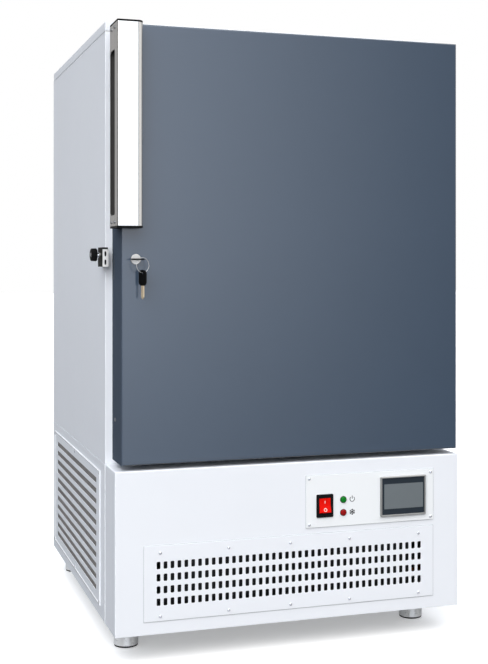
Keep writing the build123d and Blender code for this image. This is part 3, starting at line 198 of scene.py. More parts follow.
class Shader(Nodes):
    """A material's node tree around its principled shader."""

    def __init__(self, name: str) -> None:
        """Starts a material.

        Args:
            name: The material's name.
        """
        self.material = bpy.data.materials.new(name)
        self.material.use_nodes = True
        super().__init__(self.material.node_tree)

    @cached_property
    def place(self) -> bpy.types.NodeSocket:
        """The socket with the place on the object."""
        return self.add("ShaderNodeTexCoord").outputs["Object"]

    def dress(self, inputs: Inputs) -> None:
        """Sets or links inputs of the principled shader."""
        for name, value in inputs.items():
            self.feed(self.tree.nodes["Principled BSDF"].inputs[name], value)

    def noise(self, size: float, detail: float, stretch: Triple = EVEN) -> bpy.types.NodeSocket:
        """Noise over the object.

        Args:
            size: Metres across one patch.
            detail: Octaves of finer noise.
            stretch: Scale along each axis.

        Returns:
            The socket with the noise, from 0 to 1.
        """
        mapped = self.add("ShaderNodeMapping", {"Vector": self.place, "Scale": stretch}).outputs["Vector"]
        inputs = {"Vector": mapped, "Scale": 1 / size, "Detail": detail}
        return self.add("ShaderNodeTexNoise", inputs).outputs["Fac"]

    def spread(self, noise: bpy.types.NodeSocket, low: float, high: float) -> bpy.types.NodeSocket:
        """Maps noise around its middle to the span from low to high."""
        return self.ranged(noise, NOISE_SPAN, (low, high))

    def blend(self, factor: bpy.types.NodeSocket, first: Triple, second: Triple) -> bpy.types.NodeSocket:
        """Mixes two colours by a factor."""
        mix = self.add("ShaderNodeMix", {0: factor}, data_type="RGBA")
        for number, colour in ((6, first), (7, second)):
            mix.inputs[number].default_value = (*colour, 1)
        return mix.outputs[2]


@dataclass(frozen=True)
class Finish:
    """A surface finish with its own grain, slow changes of tone and uneven gloss."""

    name: str
    slot: str
    colour: Triple
    roughness: float
    metallic: float = 0.0
    specular: float = 0.5
    coat: float = 0.0
    coat_roughness: float = 0.08
    coat_ior: float = 1.5
    grain: Grain = Grain.PEEL
    grain_size: float = 0.0025
    grain_depth: float = 0.00003
    tone: float = 0.05
    tone_size: float = 0.3
    gloss_spread: float = 0.05

    def material(self) -> bpy.types.Material:
        """The finish as a material, made once and shared."""
        return bpy.data.materials.get(self.name) or self.build()

    def build(self) -> bpy.types.Material:
        """Builds the material's nodes.

        Returns:
            The material.
        """
        shader = Shader(self.name)
        stretch = STRETCH.get(self.grain, EVEN)
        if self.grain in STRETCH:
            patches = shader.noise(self.grain_size, STREAK_DETAIL, stretch)
        else:
            patches = shader.noise(self.tone_size, PATCH_DETAIL)
        darker = tuple(c * (1 - self.tone) for c in self.colour)
        gloss = shader.noise(self.grain_size * GLOSS_PATCH, PATCH_DETAIL, stretch)
        dull, bright = self.roughness + self.gloss_spread, self.roughness - self.gloss_spread
        shader.dress({
            "Base Color": shader.blend(shader.spread(patches, 0, 1), darker, self.colour),
            "Roughness": shader.spread(gloss, bright, dull),
            "Metallic": self.metallic,
            "Specular IOR Level": self.specular,
            "Coat Weight": self.coat,
            "Coat IOR": self.coat_ior,
            "Coat Roughness": self.coat_roughness,
        })
        if self.grain is not Grain.SMOOTH:
            relief = {"Height": self.relief(shader, stretch), "Distance": self.grain_depth, "Strength": 1.0}
            shader.dress({"Normal": shader.add("ShaderNodeBump", relief).outputs["Normal"]})
        return shader.material

    def relief(self, shader: Shader, stretch: Triple) -> bpy.types.NodeSocket:
        """The height of the surface's fine relief.

        Args:
            shader: The material that it is built in.
            stretch: Scale of the grain along each axis.

        Returns:
            The socket with the height, from 0 to 1.
        """
        if self.grain is Grain.CELLS:
            cells = shader.add("ShaderNodeTexVoronoi", {"Vector": shader.place, "Scale": 1 / self.grain_size})
            return cells.outputs["Distance"]
        return shader.noise(self.grain_size, RELIEF_DETAIL, stretch)


WHITE = Finish("white_powder_coat", "white_paint", paint(236, 239, 245), 0.42, grain_size=0.003, tone=0.02,
               coat=0.3, coat_roughness=0.25)
PLATE = Finish("white_plate_paint", "white_paint", paint(240, 243, 246), 0.38, grain_size=0.004,
               grain_depth=0.00001, tone=0.02, coat=0.3, coat_roughness=0.2)
# A lighter, glossier copy of the white paint for the louvre rims and the base's corner beads: partly a
# painted highlight along them, partly the real light on their rounded shape.
WHITE_PAINTED_HIGHLIGHT = Finish("glossy_white_rim", "white_paint", paint(244, 246, 250), 0.3, grain=Grain.SMOOTH,
                     coat=1.0, coat_roughness=0.15)
SLATE = Finish("slate_powder_coat", "slate_paint", paint(56, 71, 89), 0.6, specular=0.1, grain_size=0.0032,
               grain_depth=0.00001, tone=0.04, tone_size=0.22, coat=1.0, coat_roughness=0.16, coat_ior=1.7)
# A second, duller copy of the door's one slate coat, with its own colour, for the door's side faces: painted
# shade for how the light falls on the sides.
SLATE_SIDES_PAINTED_SHADE = Finish("slate_powder_coat_edge", "slate_paint", paint(70, 80, 94), 0.75, specular=0.06,
                    grain_size=0.0032, grain_depth=0.00004, tone=0.05, tone_size=0.2)
STEEL = Finish("brushed_stainless", "stainless_steel", paint(224, 222, 219), 0.26, 1.0, grain=Grain.BRUSHED_Z,
               grain_size=0.0012, grain_depth=0.000004, tone=0.05)
# A dark copy of the handle's steel for the faces inside its hollow and the plate at its back: painted shade
# of the hollow.
STEEL_PAINTED_SHADE = Finish("unpolished_stainless", "stainless_steel", paint(80, 77, 74), 0.55, 0.6,
                      grain=Grain.BRUSHED_Z, grain_size=0.0015, grain_depth=0.000006, tone=0.2)
STEEL_FLAT = Finish("stainless_along", "stainless_steel", paint(214, 213, 212), 0.32, 1.0,
                    grain=Grain.BRUSHED_X, grain_size=0.0012, grain_depth=0.000006, tone=0.1)
BEZEL = Finish("display_frame_steel", "stainless_steel", paint(168, 168, 166), 0.4, 0.7,
               grain=Grain.BRUSHED_X, grain_size=0.0012, grain_depth=0.000004, tone=0.1)
# Near white and barely metallic: the bright sheen of the plated feet is painted into their colour.
FOOT_STEEL_PAINTED_SHEEN = Finish("plated_foot_steel", "stainless_steel", paint(252, 253, 254), 0.3, 0.2,
                    grain=Grain.MOULDED, grain_size=0.001, grain_depth=0.000006, tone=0.05)
BRIGHT = Finish("bright_chrome", "bright_steel", paint(228, 229, 232), 0.14, 1.0, grain=Grain.SMOOTH,
                tone=0.03, gloss_spread=0.03)
SATIN = Finish("satin_chrome", "bright_steel", paint(200, 197, 192), 0.3, 0.85, grain=Grain.SMOOTH, tone=0.05,
               gloss_spread=0.03)
WIRE = Finish("nickel_wire", "bright_steel", paint(206, 206, 206), 0.35, 0.6, grain=Grain.SMOOTH, tone=0.03)
SCREW = Finish("dull_screw_steel", "bright_steel", paint(150, 150, 152), 0.4, 1.0, grain=Grain.MOULDED,
               grain_size=0.0006, grain_depth=0.000004)
ZINC = Finish("galvanised_sheet", "galvanised_steel", paint(176, 180, 184), 0.45, 0.9, grain=Grain.CELLS,
              grain_size=0.012, grain_depth=0.00001, tone=0.2, tone_size=0.02)
BLACK = Finish("black_moulding", "black_plastic", paint(12, 12, 13), 0.45, specular=0.09,
               grain=Grain.MOULDED, grain_size=0.0008, grain_depth=0.00002, tone=0.15)
WHITE_PLASTIC = Finish("white_moulding", "white_plastic", paint(232, 234, 236), 0.35, grain=Grain.MOULDED,
                       grain_size=0.001, grain_depth=0.00001, tone=0.02)
RED = Finish("red_rocker", "red_plastic", paint(222, 16, 4), 0.3, specular=0.12, grain=Grain.SMOOTH,
             tone=0.05)
GREEN_LENS = Finish("green_lens_plastic", "green_lens", paint(4, 118, 28), 0.15, specular=0.2,
                    grain=Grain.SMOOTH)
RED_LENS = Finish("red_lens_plastic", "red_lens", paint(142, 6, 6), 0.15, specular=0.2, grain=Grain.SMOOTH)
SCREEN_EDGE = Finish("screen_border", "display_glass", paint(40, 48, 56), 0.14, specular=0.3,
                     grain=Grain.SMOOTH, gloss_spread=0.01)
SCREEN = Finish("screen_area", "display_glass", paint(108, 115, 119), 0.25, specular=0.3, grain=Grain.SMOOTH,
                tone=0.04, tone_size=0.05, gloss_spread=0.01)
GASKET = Finish("gasket_vinyl", "gasket_rubber", paint(186, 190, 196), 0.55, grain=Grain.MOULDED,
                grain_size=0.0015)
# Grey strips in the seams and round the front plates: partly sealant, partly painted shadow of the seam.
SEAL_AND_SEAM_SHADE = Finish("sealing_strip", "gasket_rubber", paint(184, 188, 192), 0.6, grain=Grain.MOULDED,
              grain_size=0.0015)
TYRE = Finish("black_rubber_foot", "black_rubber", paint(16, 16, 16), 0.7, grain=Grain.MOULDED,
              grain_size=0.001)
MESH = Finish("filter_wire", "filter_mesh", paint(136, 133, 131), 0.5, 0.2, grain=Grain.MOULDED,
              grain_size=0.001, tone=0.25, tone_size=0.02)
MESH_BACK = Finish("filter_pad", "filter_mesh", paint(72, 69, 68), 0.8, grain=Grain.CELLS, grain_size=0.003,
                   grain_depth=0.0003, tone=0.35, tone_size=0.03)
FOAM = Finish("insulating_foam", "foam", paint(226, 208, 160), 0.85, grain=Grain.CELLS, grain_size=0.004,
              grain_depth=0.0004, tone=0.18, tone_size=0.05)
ENAMEL = Finish("black_enamel_coat", "black_enamel", paint(22, 23, 25), 0.35, grain_size=0.004, tone=0.2,
                coat=0.3)
# Near black: partly a black coat on the condenser, partly painted shade for the dark space behind the front
# grille.
FINS = Finish("dark_fins", "aluminium_fins", paint(24, 25, 27), 0.5, 0.3, tone=0.3, tone_size=0.02)
COPPER = Finish("copper_tube", "copper", paint(196, 128, 92), 0.3, 1.0, grain=Grain.BRUSHED_X,
                grain_size=0.002, tone=0.25)
BRASS = Finish("key_brass_blade", "key_brass", paint(240, 219, 186), 0.35, 0.6, grain=Grain.BRUSHED_Z,
               grain_size=0.001, tone=0.1)
INK = Finish("printed_ink", "black_plastic", paint(20, 22, 26), 0.6, specular=0.1, grain=Grain.SMOOTH)
MARK = Finish("white_ink", "white_plastic", paint(240, 206, 200), 0.45, grain=Grain.SMOOTH)


class Tree(Nodes):
    """A Geometry Nodes tree with named inputs, built node by node and run to give a plain mesh."""

    KINDS = {
        float: "NodeSocketFloat",
        int: "NodeSocketInt",
        bpy.types.Object: "NodeSocketObject",
        bpy.types.Material: "NodeSocketMaterial",
    }

    def __init__(self, name: str, **values: Value) -> None:
        """Starts a tree.

        Args:
            name: The tree's name.
            values: Its named inputs with their values.
        """
        super().__init__(bpy.data.node_groups.new(name, "GeometryNodeTree"))
        self.values = {}
        interface = self.tree.interface
        for way in ("INPUT", "OUTPUT"):
            interface.new_socket("Geometry", in_out=way, socket_type="NodeSocketGeometry")
        for title, value in values.items():
            socket = interface.new_socket(title, in_out="INPUT", socket_type=self.KINDS[type(value)])
            self.values[socket.identifier] = value
        self.inputs = self.add("NodeGroupInput").outputs

    def run(self, geometry: bpy.types.NodeSocket, start: bpy.types.Mesh | None = None) -> bpy.types.Mesh:
        """Ends the tree, runs it once and takes the modifier off again.

        Args:
            geometry: The socket with the finished geometry.
            start: The mesh that the tree works on.

        Returns:
            The plain mesh.
        """
        real = self.add("GeometryNodeRealizeInstances", {"Geometry": geometry}).outputs[0]
        dress = {"Geometry": real, "Material": self.inputs["Finish"]}
        self.add("NodeGroupOutput", {0: self.add("GeometryNodeSetMaterial", dress).outputs[0]})
        holder = shown(self.tree.name, start or bpy.data.meshes.new("start"))
        modifier = modify(holder, "NODES", node_group=self.tree)
        for identifier, value in self.values.items():
            modifier[identifier] = value
        return plain_mesh(holder)


def shown(name: str, data: bpy.types.ID) -> bpy.types.Object:
    """A new object in the scene."""
    found = bpy.data.objects.new(name, data)
    bpy.context.scene.collection.objects.link(found)
    return found


def modify(holder: bpy.types.Object, kind: str, **settings: object) -> bpy.types.Modifier:
    """Gives an object a modifier.

    Args:
        holder: The object.
        kind: Blender's name for the modifier.
        settings: Values for its properties.

    Returns:
        The modifier.
    """
    modifier = holder.modifiers.new(kind.lower(), kind)
    for name, value in settings.items():
        setattr(modifier, name, value)
    return modifier


def plain_mesh(holder: bpy.types.Object) -> bpy.types.Mesh:
    """Takes an object's mesh with its modifiers applied, and removes the modifiers and the object.

    Args:
        holder: The object.

    Returns:
        The plain mesh.
    """
    bpy.context.view_layer.update()
    graph = bpy.context.evaluated_depsgraph_get()
    mesh = bpy.data.meshes.new_from_object(holder.evaluated_get(graph), depsgraph=graph)
    holder.modifiers.clear()
    bpy.data.objects.remove(holder)
    return mesh


def faces_of(*meshes: bpy.types.Mesh) -> bmesh.types.BMesh:
    """The faces of some meshes, to work on."""
    work = bmesh.new()
    for mesh in meshes:
        work.from_mesh(mesh)
    return work


def mesh_of(work: bmesh.types.BMesh, mesh: bpy.types.Mesh | None = None) -> bpy.types.Mesh:
    """Writes worked faces to a mesh.

    Args:
        work: The faces, which are freed.
        mesh: The mesh, or none for a new one.

    Returns:
        The mesh.
    """
    found = mesh or bpy.data.meshes.new("made")
    work.to_mesh(found)
    work.free()
    return found


def joined(meshes: list[bpy.types.Mesh]) -> bpy.types.Mesh:
    """One mesh of several that share a finish."""
    return mesh_of(faces_of(*meshes))


def cleaned(mesh: bpy.types.Mesh, flat: bool = False, outwards: bool = False) -> bpy.types.Mesh:
    """Merges a mesh's loose corners.

    Args:
        mesh: The mesh, which is changed.
        flat: Whether triangles of one flat face are joined.
        outwards: Whether the faces are turned outwards.

    Returns:
        The mesh.
    """
    work = faces_of(mesh)
    bmesh.ops.remove_doubles(work, verts=work.verts, dist=TINY)
    if flat:
        bmesh.ops.dissolve_limit(work, angle_limit=math.radians(FLAT_DEGREES), verts=work.verts,
                                 edges=work.edges, delimit={"NORMAL"})
    if outwards:
        bmesh.ops.recalc_face_normals(work, faces=work.faces)
    return mesh_of(work, mesh)


def smoothed(mesh: bpy.types.Mesh, degrees: float = SHARP_DEGREES) -> bpy.types.Mesh:
    """Shades a mesh smooth, apart from edges sharper than an angle."""
    mesh.shade_smooth()
    mesh.set_sharp_from_angle(angle=math.radians(degrees))
    return mesh


def softened(mesh: bpy.types.Mesh, width: float, segments: int = 2) -> bpy.types.Mesh:
    """Rounds a mesh's sharp edges.

    Args:
        mesh: The mesh.
        width: Width of the rounding, or 0 for smooth shading alone.
        segments: Faces across it.

    Returns:
        The rounded mesh.
    """
    if width <= 0:
        return smoothed(mesh)
    for polygon in mesh.polygons:
        polygon.use_smooth = True
    holder = shown("softened", mesh)
    modify(holder, "BEVEL", width=width, segments=segments, limit_method="ANGLE",
           angle_limit=math.radians(CORNER_DEGREES), use_clamp_overlap=True)
    modify(holder, "WEIGHTED_NORMAL", keep_sharp=True)
    return plain_mesh(holder)


def rounded(points: list[Pair], radii: list[float], steps: int = 7) -> list[Pair]:
    """Rounds the corners of a closed outline.

    Args:
        points: The corners.
        radii: The radius at each corner, or 0 to leave it.
        steps: Points along each arc, less one.

    Returns:
        The outline's points.
    """
    found = []
    for index, (point, radius) in enumerate(zip(points, radii)):
        corner = Vector(point)
        if radius <= 0:
            found.append(tuple(corner))
            continue
        before = (Vector(points[index - 1]) - corner).normalized()
        after = (Vector(points[(index + 1) % len(points)]) - corner).normalized()
        half = before.angle(after) / 2
        centre = corner + (before + after).normalized() * (radius / math.sin(half))
        start = corner + before * (radius / math.tan(half)) - centre
        end = corner + after * (radius / math.tan(half)) - centre
        sweep = start.angle_signed(end)
        found += [tuple(centre + Matrix.Rotation(-sweep * step / steps, 2) @ start)
                  for step in range(steps + 1)]
    return found


def rectangle(width: float, height: float, radius: float = 0.0) -> list[Pair]:
    """The outline of a rectangle with rounded corners around its middle."""
    x, y = width / 2, height / 2
    return rounded([(-x, -y), (x, -y), (x, y), (-x, y)], [radius] * 4)


def curved(points: list[tuple[float, ...]], cyclic: bool, **settings: object) -> bpy.types.Mesh:
    """The mesh of a curve through points.

    Args:
        points: The points.
        cyclic: Whether its ends meet.
        settings: Values for the curve's properties.

    Returns:
        The mesh.
    """
    curve = bpy.data.curves.new("curve", "CURVE")
    for name, value in settings.items():
        setattr(curve, name, value)
    spline = curve.splines.new("POLY")
    spline.points.add(len(points) - 1)
    for target, point in zip(spline.points, points):
        target.co = (*Vector(point).to_3d(), 1)
    spline.use_cyclic_u = cyclic
    return plain_mesh(shown("curve", curve))


def prism(outline: list[Pair], depth: float, place: Matrix, edge: float = 0.0) -> bpy.types.Mesh:
    """A plate of an outline.

    Args:
        outline: Its points, in the plate's own X and Y.
        depth: How far it rises from its plane.
        place: Where its plane lies.
        edge: Width of the rounding at its edges, or 0.

    Returns:
        The mesh, in place.
    """
    mesh = curved(outline, True, dimensions="2D", fill_mode="BOTH", extrude=depth / 2)
    mesh.transform(Matrix.Translation((0, 0, depth / 2)))
    cleaned(mesh, flat=True, outwards=True)
    mesh.transform(place)
    return softened(mesh, edge)


def lathe(profile: list[Pair], place: Matrix, segments: int = 56, flute: float = 0.0) -> bpy.types.Mesh:
    """A turned piece.

    Args:
        profile: Radius and height of each point, from the bottom of the axis to the top.
        place: Where its foot stands, with its axis along the place's Z.
        segments: Faces around it.
        flute: How deep its outermost part is fluted.

    Returns:
        The mesh, in place.
    """
    work = bmesh.new()
    rings = []
    rim = RIM_SHARE * max(radius for radius, height in profile)
    for radius, height in profile:
        ring = []
        for step in range(segments if radius > TINY else 1):
            turn = math.tau * step / segments
            sunk = radius > rim and step % FLUTE_FACES >= FLUTE_FACES // 2
            reach = radius - flute * sunk
            ring.append(work.verts.new((reach * math.cos(turn), reach * math.sin(turn), height)))
        rings.append(ring)
    for lower, upper in zip(rings, rings[1:]):
        for step in range(segments):
            after = (step + 1) % segments
            corners = [lower[step % len(lower)], lower[after % len(lower)],
                       upper[after % len(upper)], upper[step % len(upper)]]
            unique = list(dict.fromkeys(corners))
            if len(unique) > 2:
                work.faces.new(unique)
    bmesh.ops.recalc_face_normals(work, faces=work.faces)
    mesh = mesh_of(work)
    mesh.transform(place)
    return smoothed(mesh)


def mitred_frame(width: float, height: float, section: list[Pair], place: Matrix) -> bpy.types.Mesh:
    """A closed section run round a rectangle with mitred corners.

    Args:
        width: Width of the rectangle that the section follows.
        height: Its height.
        section: The section's points, outwards from the rectangle and up from its plane.
        place: Where the rectangle's middle lies.

    Returns:
        The mesh, in place.
    """
    corners = ((-1, -1), (1, -1), (1, 1), (-1, 1))
    points = [(x * (width / 2 + out), y * (height / 2 + out), up) for x, y in corners for out, up in section]
    count = len(section)
    faces = [(i * count + j, (i + 1) % 4 * count + j, (i + 1) % 4 * count + (j + 1) % count,
              i * count + (j + 1) % count) for i in range(4) for j in range(count)]
    mesh = bpy.data.meshes.new("frame")
    mesh.from_pydata(points, [], faces)
    mesh.transform(place)
    return smoothed(cleaned(mesh, outwards=True))


def split(mesh: bpy.types.Mesh, chosen: Callable[[Vector, Vector], bool]) -> list[bpy.types.Mesh]:
    """Parts a mesh in two by its faces.

    Args:
        mesh: The mesh.
        chosen: Whether a face of a given middle and normal goes to the first part.

    Returns:
        The chosen faces and the others.
    """
    parts = []
    for wanted in (True, False):
        work = faces_of(mesh)
        others = [f for f in work.faces if chosen(f.calc_center_median(), f.normal) != wanted]
        bmesh.ops.delete(work, geom=others, context="FACES")
        parts.append(mesh_of(work))
    return parts


def draped(mesh: bpy.types.Mesh, node: str) -> bpy.types.Mesh:
    """Lays a mark, drawn in front of the plane Y = 0, on a node's front.

    Args:
        mesh: The mark, which is changed.
        node: The frame node that it lies on.

    Returns:
        The mark.
    """
    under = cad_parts[node].data
    tree = BVHTree.FromPolygons([v.co for v in under.vertices], [p.vertices[:] for p in under.polygons])
    for vertex in mesh.vertices:
        x, y, z = vertex.co
        vertex.co.y = y + tree.ray_cast(Vector((x, -1, z)), Vector((0, 1, 0)))[0].y
    return mesh


def cad_mesh(node: str, edge: float = 0.0, flat: bool = True) -> bpy.types.Mesh:
    """A copy of a frame node's mesh, merged and shaded, with its edges rounded.

    Args:
        node: The node's name.
        edge: Width of the rounding, or 0 for none.
        flat: Whether triangles of one flat face are joined, which doesn't suit crossing bars.

    Returns:
        The mesh.
    """
    mesh = cleaned(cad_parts[node].data.copy(), flat=flat)
    mesh.materials.clear()
    return softened(mesh, edge)


def piece(name: str, mesh: bpy.types.Mesh, finish: Finish, body: str, *replaced: str) -> None:
    """Puts a mesh in the scene as a piece that rides on a body.

    Args:
        name: The piece's name.
        mesh: Its mesh, in place.
        finish: Its finish.
        body: The body that it rides on.
        replaced: The frame nodes that it stands for.
    """
    mesh.name = name
    mesh.materials.clear()
    mesh.materials.append(finish.material())
    found = shown(name, mesh)
    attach(found, body)
    if replaced:
        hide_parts(*replaced)
    log.info("%s: %d faces on %s", name, len(mesh.polygons), body)


def dressed(node: str, name: str, finish: Finish, edge: float = 0.0, body: str = "cabinet") -> None:
    """Puts a copy of a frame node in the scene as a piece.

    Args:
        node: The node's name.
        name: The piece's name.
        finish: Its finish.
        edge: Width of the rounding at its edges, or 0.
        body: The body that it rides on.
    """
    piece(name, cad_mesh(node, edge), finish, body, node)


@dataclass(frozen=True)
class Slots:
    """A grid of slots in a sheet."""

    size: Pair
    corner: float
    pitch: Pair
    counts: tuple[int, int]

    def sheet(self, box: Box, side: Side, depth: float, shift: Pair, finish: Finish) -> bpy.types.Mesh:
        """The sheet with its slots, made by Geometry Nodes.

        Args:
            box: The box that the sheet fills.
            side: The side of the box that it lies on.
            depth: Its thickness.
            shift: The middle of the slots from the middle of the sheet, in the sheet's X and Y.
            finish: The sheet's finish.

        Returns:
            The mesh, in place.
        """
        width = box.size.y if side in (Side.LEFT, Side.RIGHT) else box.size.x
        tree = Tree("slotted_sheet", Width=width, Height=box.size.z, Depth=depth, SlotWidth=self.size[0],
                    SlotHeight=self.size[1], Corner=self.corner, PitchAcross=self.pitch[0],
                    PitchUp=self.pitch[1], Across=self.counts[0], Up=self.counts[1], ShiftAcross=shift[0],
                    ShiftUp=shift[1], Finish=finish.material())
        sizes = tree.inputs
        outer, hole = [tree.add("GeometryNodeCurvePrimitiveQuadrilateral",
                                {"Width": sizes[f"{kind}Width"], "Height": sizes[f"{kind}Height"]}).outputs[0]
                       for kind in ("", "Slot")]
        fillet = tree.add("GeometryNodeFilletCurve",
                          {"Curve": hole, "Radius": sizes["Corner"], "Count": SLOT_CORNER_FACES}, mode="POLY")
        spans = [tree.math("MULTIPLY", tree.math("SUBTRACT", sizes[count], 1.0), sizes[f"Pitch{count}"])
                 for count in ("Across", "Up")]
        grid = tree.add("GeometryNodeMeshGrid", {"Size X": spans[0], "Size Y": spans[1],
                                                 "Vertices X": sizes["Across"], "Vertices Y": sizes["Up"]})
        holes = tree.add("GeometryNodeInstanceOnPoints",
                         {"Points": grid.outputs[0], "Instance": fillet.outputs[0]})
        real = tree.add("GeometryNodeRealizeInstances", {"Geometry": holes.outputs[0]})
        offset = tree.add("ShaderNodeCombineXYZ", {0: sizes["ShiftAcross"], 1: sizes["ShiftUp"]})
        moved = tree.add("GeometryNodeTransform",
                         {"Geometry": real.outputs[0], "Translation": offset.outputs[0]})
        lines = tree.add("GeometryNodeJoinGeometry", {0: [outer, moved.outputs[0]]})
        filled = tree.add("GeometryNodeFillCurve", {0: lines.outputs[0]}).outputs[0]
        raised = tree.add("GeometryNodeExtrudeMesh",
                          {"Mesh": filled, "Offset Scale": sizes["Depth"], "Individual": False})
        under = tree.add("GeometryNodeFlipFaces", {0: filled})
        both = tree.add("GeometryNodeJoinGeometry", {0: [raised.outputs["Mesh"], under.outputs[0]]})
        welded = tree.add("GeometryNodeMergeByDistance", {"Geometry": both.outputs[0], "Distance": TINY})
        mesh = tree.run(welded.outputs[0])
        mesh.transform(side.on(box, -depth))
        return cleaned(mesh, outwards=True)


def wire_cloth(width: float, height: float, pitch: float, wire: float, finish: Finish) -> bpy.types.Mesh:
    """A cloth of crossed wires, made by Geometry Nodes.

    Args:
        width: Its width.
        height: Its height.
        pitch: Distance between wires.
        wire: Radius of a wire.
        finish: Its finish.

    Returns:
        The mesh around its middle.
    """
    tree = Tree("wire_cloth", Width=width, Height=height, Pitch=pitch, Wire=wire, Finish=finish.material())
    profile = tree.add("GeometryNodeCurvePrimitiveCircle",
                       {"Resolution": WIRE_FACES, "Radius": tree.inputs["Wire"]})
    sets = []
    for along, across, turn in (("Width", "Height", 0.0), ("Height", "Width", math.pi / 2)):
        half = tree.math("MULTIPLY", tree.inputs[along], 0.5)
        start = tree.add("ShaderNodeCombineXYZ", {0: tree.math("MULTIPLY", half, -1.0)})
        end = tree.add("ShaderNodeCombineXYZ", {0: half})
        line = tree.add("GeometryNodeCurvePrimitiveLine", {"Start": start.outputs[0], "End": end.outputs[0]})
        count = tree.math("DIVIDE", tree.inputs[across], tree.inputs["Pitch"])
        column = tree.add("GeometryNodeMeshGrid", {"Size X": 0.0, "Size Y": tree.inputs[across],
                                                   "Vertices X": 1, "Vertices Y": count})
        copies = tree.add("GeometryNodeInstanceOnPoints",
                          {"Points": column.outputs[0], "Instance": line.outputs[0]})
        real = tree.add("GeometryNodeRealizeInstances", {"Geometry": copies.outputs[0]})
        turned = tree.add("GeometryNodeTransform", {"Geometry": real.outputs[0], "Rotation": (0, 0, turn)})
        swept = tree.add("GeometryNodeCurveToMesh",
                         {"Curve": turned.outputs[0], "Profile Curve": profile.outputs[0]})
        sets.append(swept.outputs[0])
    return smoothed(tree.run(tree.add("GeometryNodeJoinGeometry", {0: sets}).outputs[0]))


@dataclass(frozen=True)
class ScrewHead:
    """A pan head with a cross recess."""

    radius: float = 0.0034
    height: float = 0.0019
    recess: float = 0.0011
    arm: float = 0.0021
    arm_width: float = 0.0008
    floor_share: float = 0.6
    rim_shares: tuple[Pair, ...] = ((1.0, 0.0), (1.0, 0.35), (0.93, 0.68), (0.8, 0.9))
    faces: int = 24
    seed: int = 3

    def mesh(self) -> bpy.types.Mesh:
        """The head, standing on its plane.

        Returns:
            The mesh: a dome whose middle has the cross sunk into it.
        """
        half, arm, top = self.arm_width / 2, self.arm, self.height
        corners = [Vector(corner) for corner in ((half, half), (arm, half), (arm, -half))]
        cross = [Matrix.Rotation(-math.tau / 4 * arms, 2) @ corner for arms in range(4) for corner in corners]
        turns = [math.tau * step / self.faces for step in range(self.faces)]
        work = bmesh.new()
        rim = [Vector((math.cos(turn), math.sin(turn))) * self.radius for turn in turns]
        rings = [[work.verts.new((*point * wide, top * up)) for point in rim] for wide, up in self.rim_shares]
        rings += [[work.verts.new((*point * share, top - sunk)) for point in reversed(cross)]
                  for share, sunk in ((1, 0), (self.floor_share, self.recess))]
        crest, mouth, bottom = rings[-3:]
        for lower, upper in zip(rings, rings[1:]):
            for step in range(0 if lower is crest else len(lower)):
                work.faces.new((lower[step - 1], lower[step], upper[step], upper[step - 1]))
        work.faces.new(bottom)
        crown = [edge for edge in work.edges if all(v in crest or v in mouth for v in edge.verts)]
        bmesh.ops.triangle_fill(work, edges=crown, use_beauty=True)
        bmesh.ops.recalc_face_normals(work, faces=work.faces)
        return mesh_of(work)

    def copies(self, places: list[Triple], place: Matrix, finish: Finish) -> bpy.types.Mesh:
        """Heads at many places, each turned as it was driven in, made by Geometry Nodes.

        Args:
            places: Where they stand, in the plane of the place.
            place: The matrix that lays the whole on its side of the freezer.
            finish: Their finish.

        Returns:
            The mesh, in place.
        """
        pattern = bpy.data.objects.new("screw_head", self.mesh())
        start = bpy.data.meshes.new("places")
        start.from_pydata(places, [], [])
        tree = Tree("screw_heads", Shape=pattern, Twist=math.pi, Seed=self.seed, Finish=finish.material())
        shape = tree.add("GeometryNodeObjectInfo", {"Object": tree.inputs["Shape"]})
        most = tree.add("ShaderNodeCombineXYZ", {2: tree.inputs["Twist"]})
        turn = tree.add("FunctionNodeRandomValue", {"Max": most.outputs[0], "Seed": tree.inputs["Seed"]},
                        data_type="FLOAT_VECTOR")
        turn.inputs[0].default_value = (0, 0, 0)
        rotation = tree.add("FunctionNodeEulerToRotation", {0: turn.outputs[0]})
        heads = tree.add("GeometryNodeInstanceOnPoints",
                         {"Points": tree.inputs["Geometry"], "Instance": shape.outputs["Geometry"],
                          "Rotation": rotation.outputs[0]})
        mesh = tree.run(heads.outputs[0], start)
        bpy.data.objects.remove(pattern)
        mesh.transform(place)
        return smoothed(mesh)


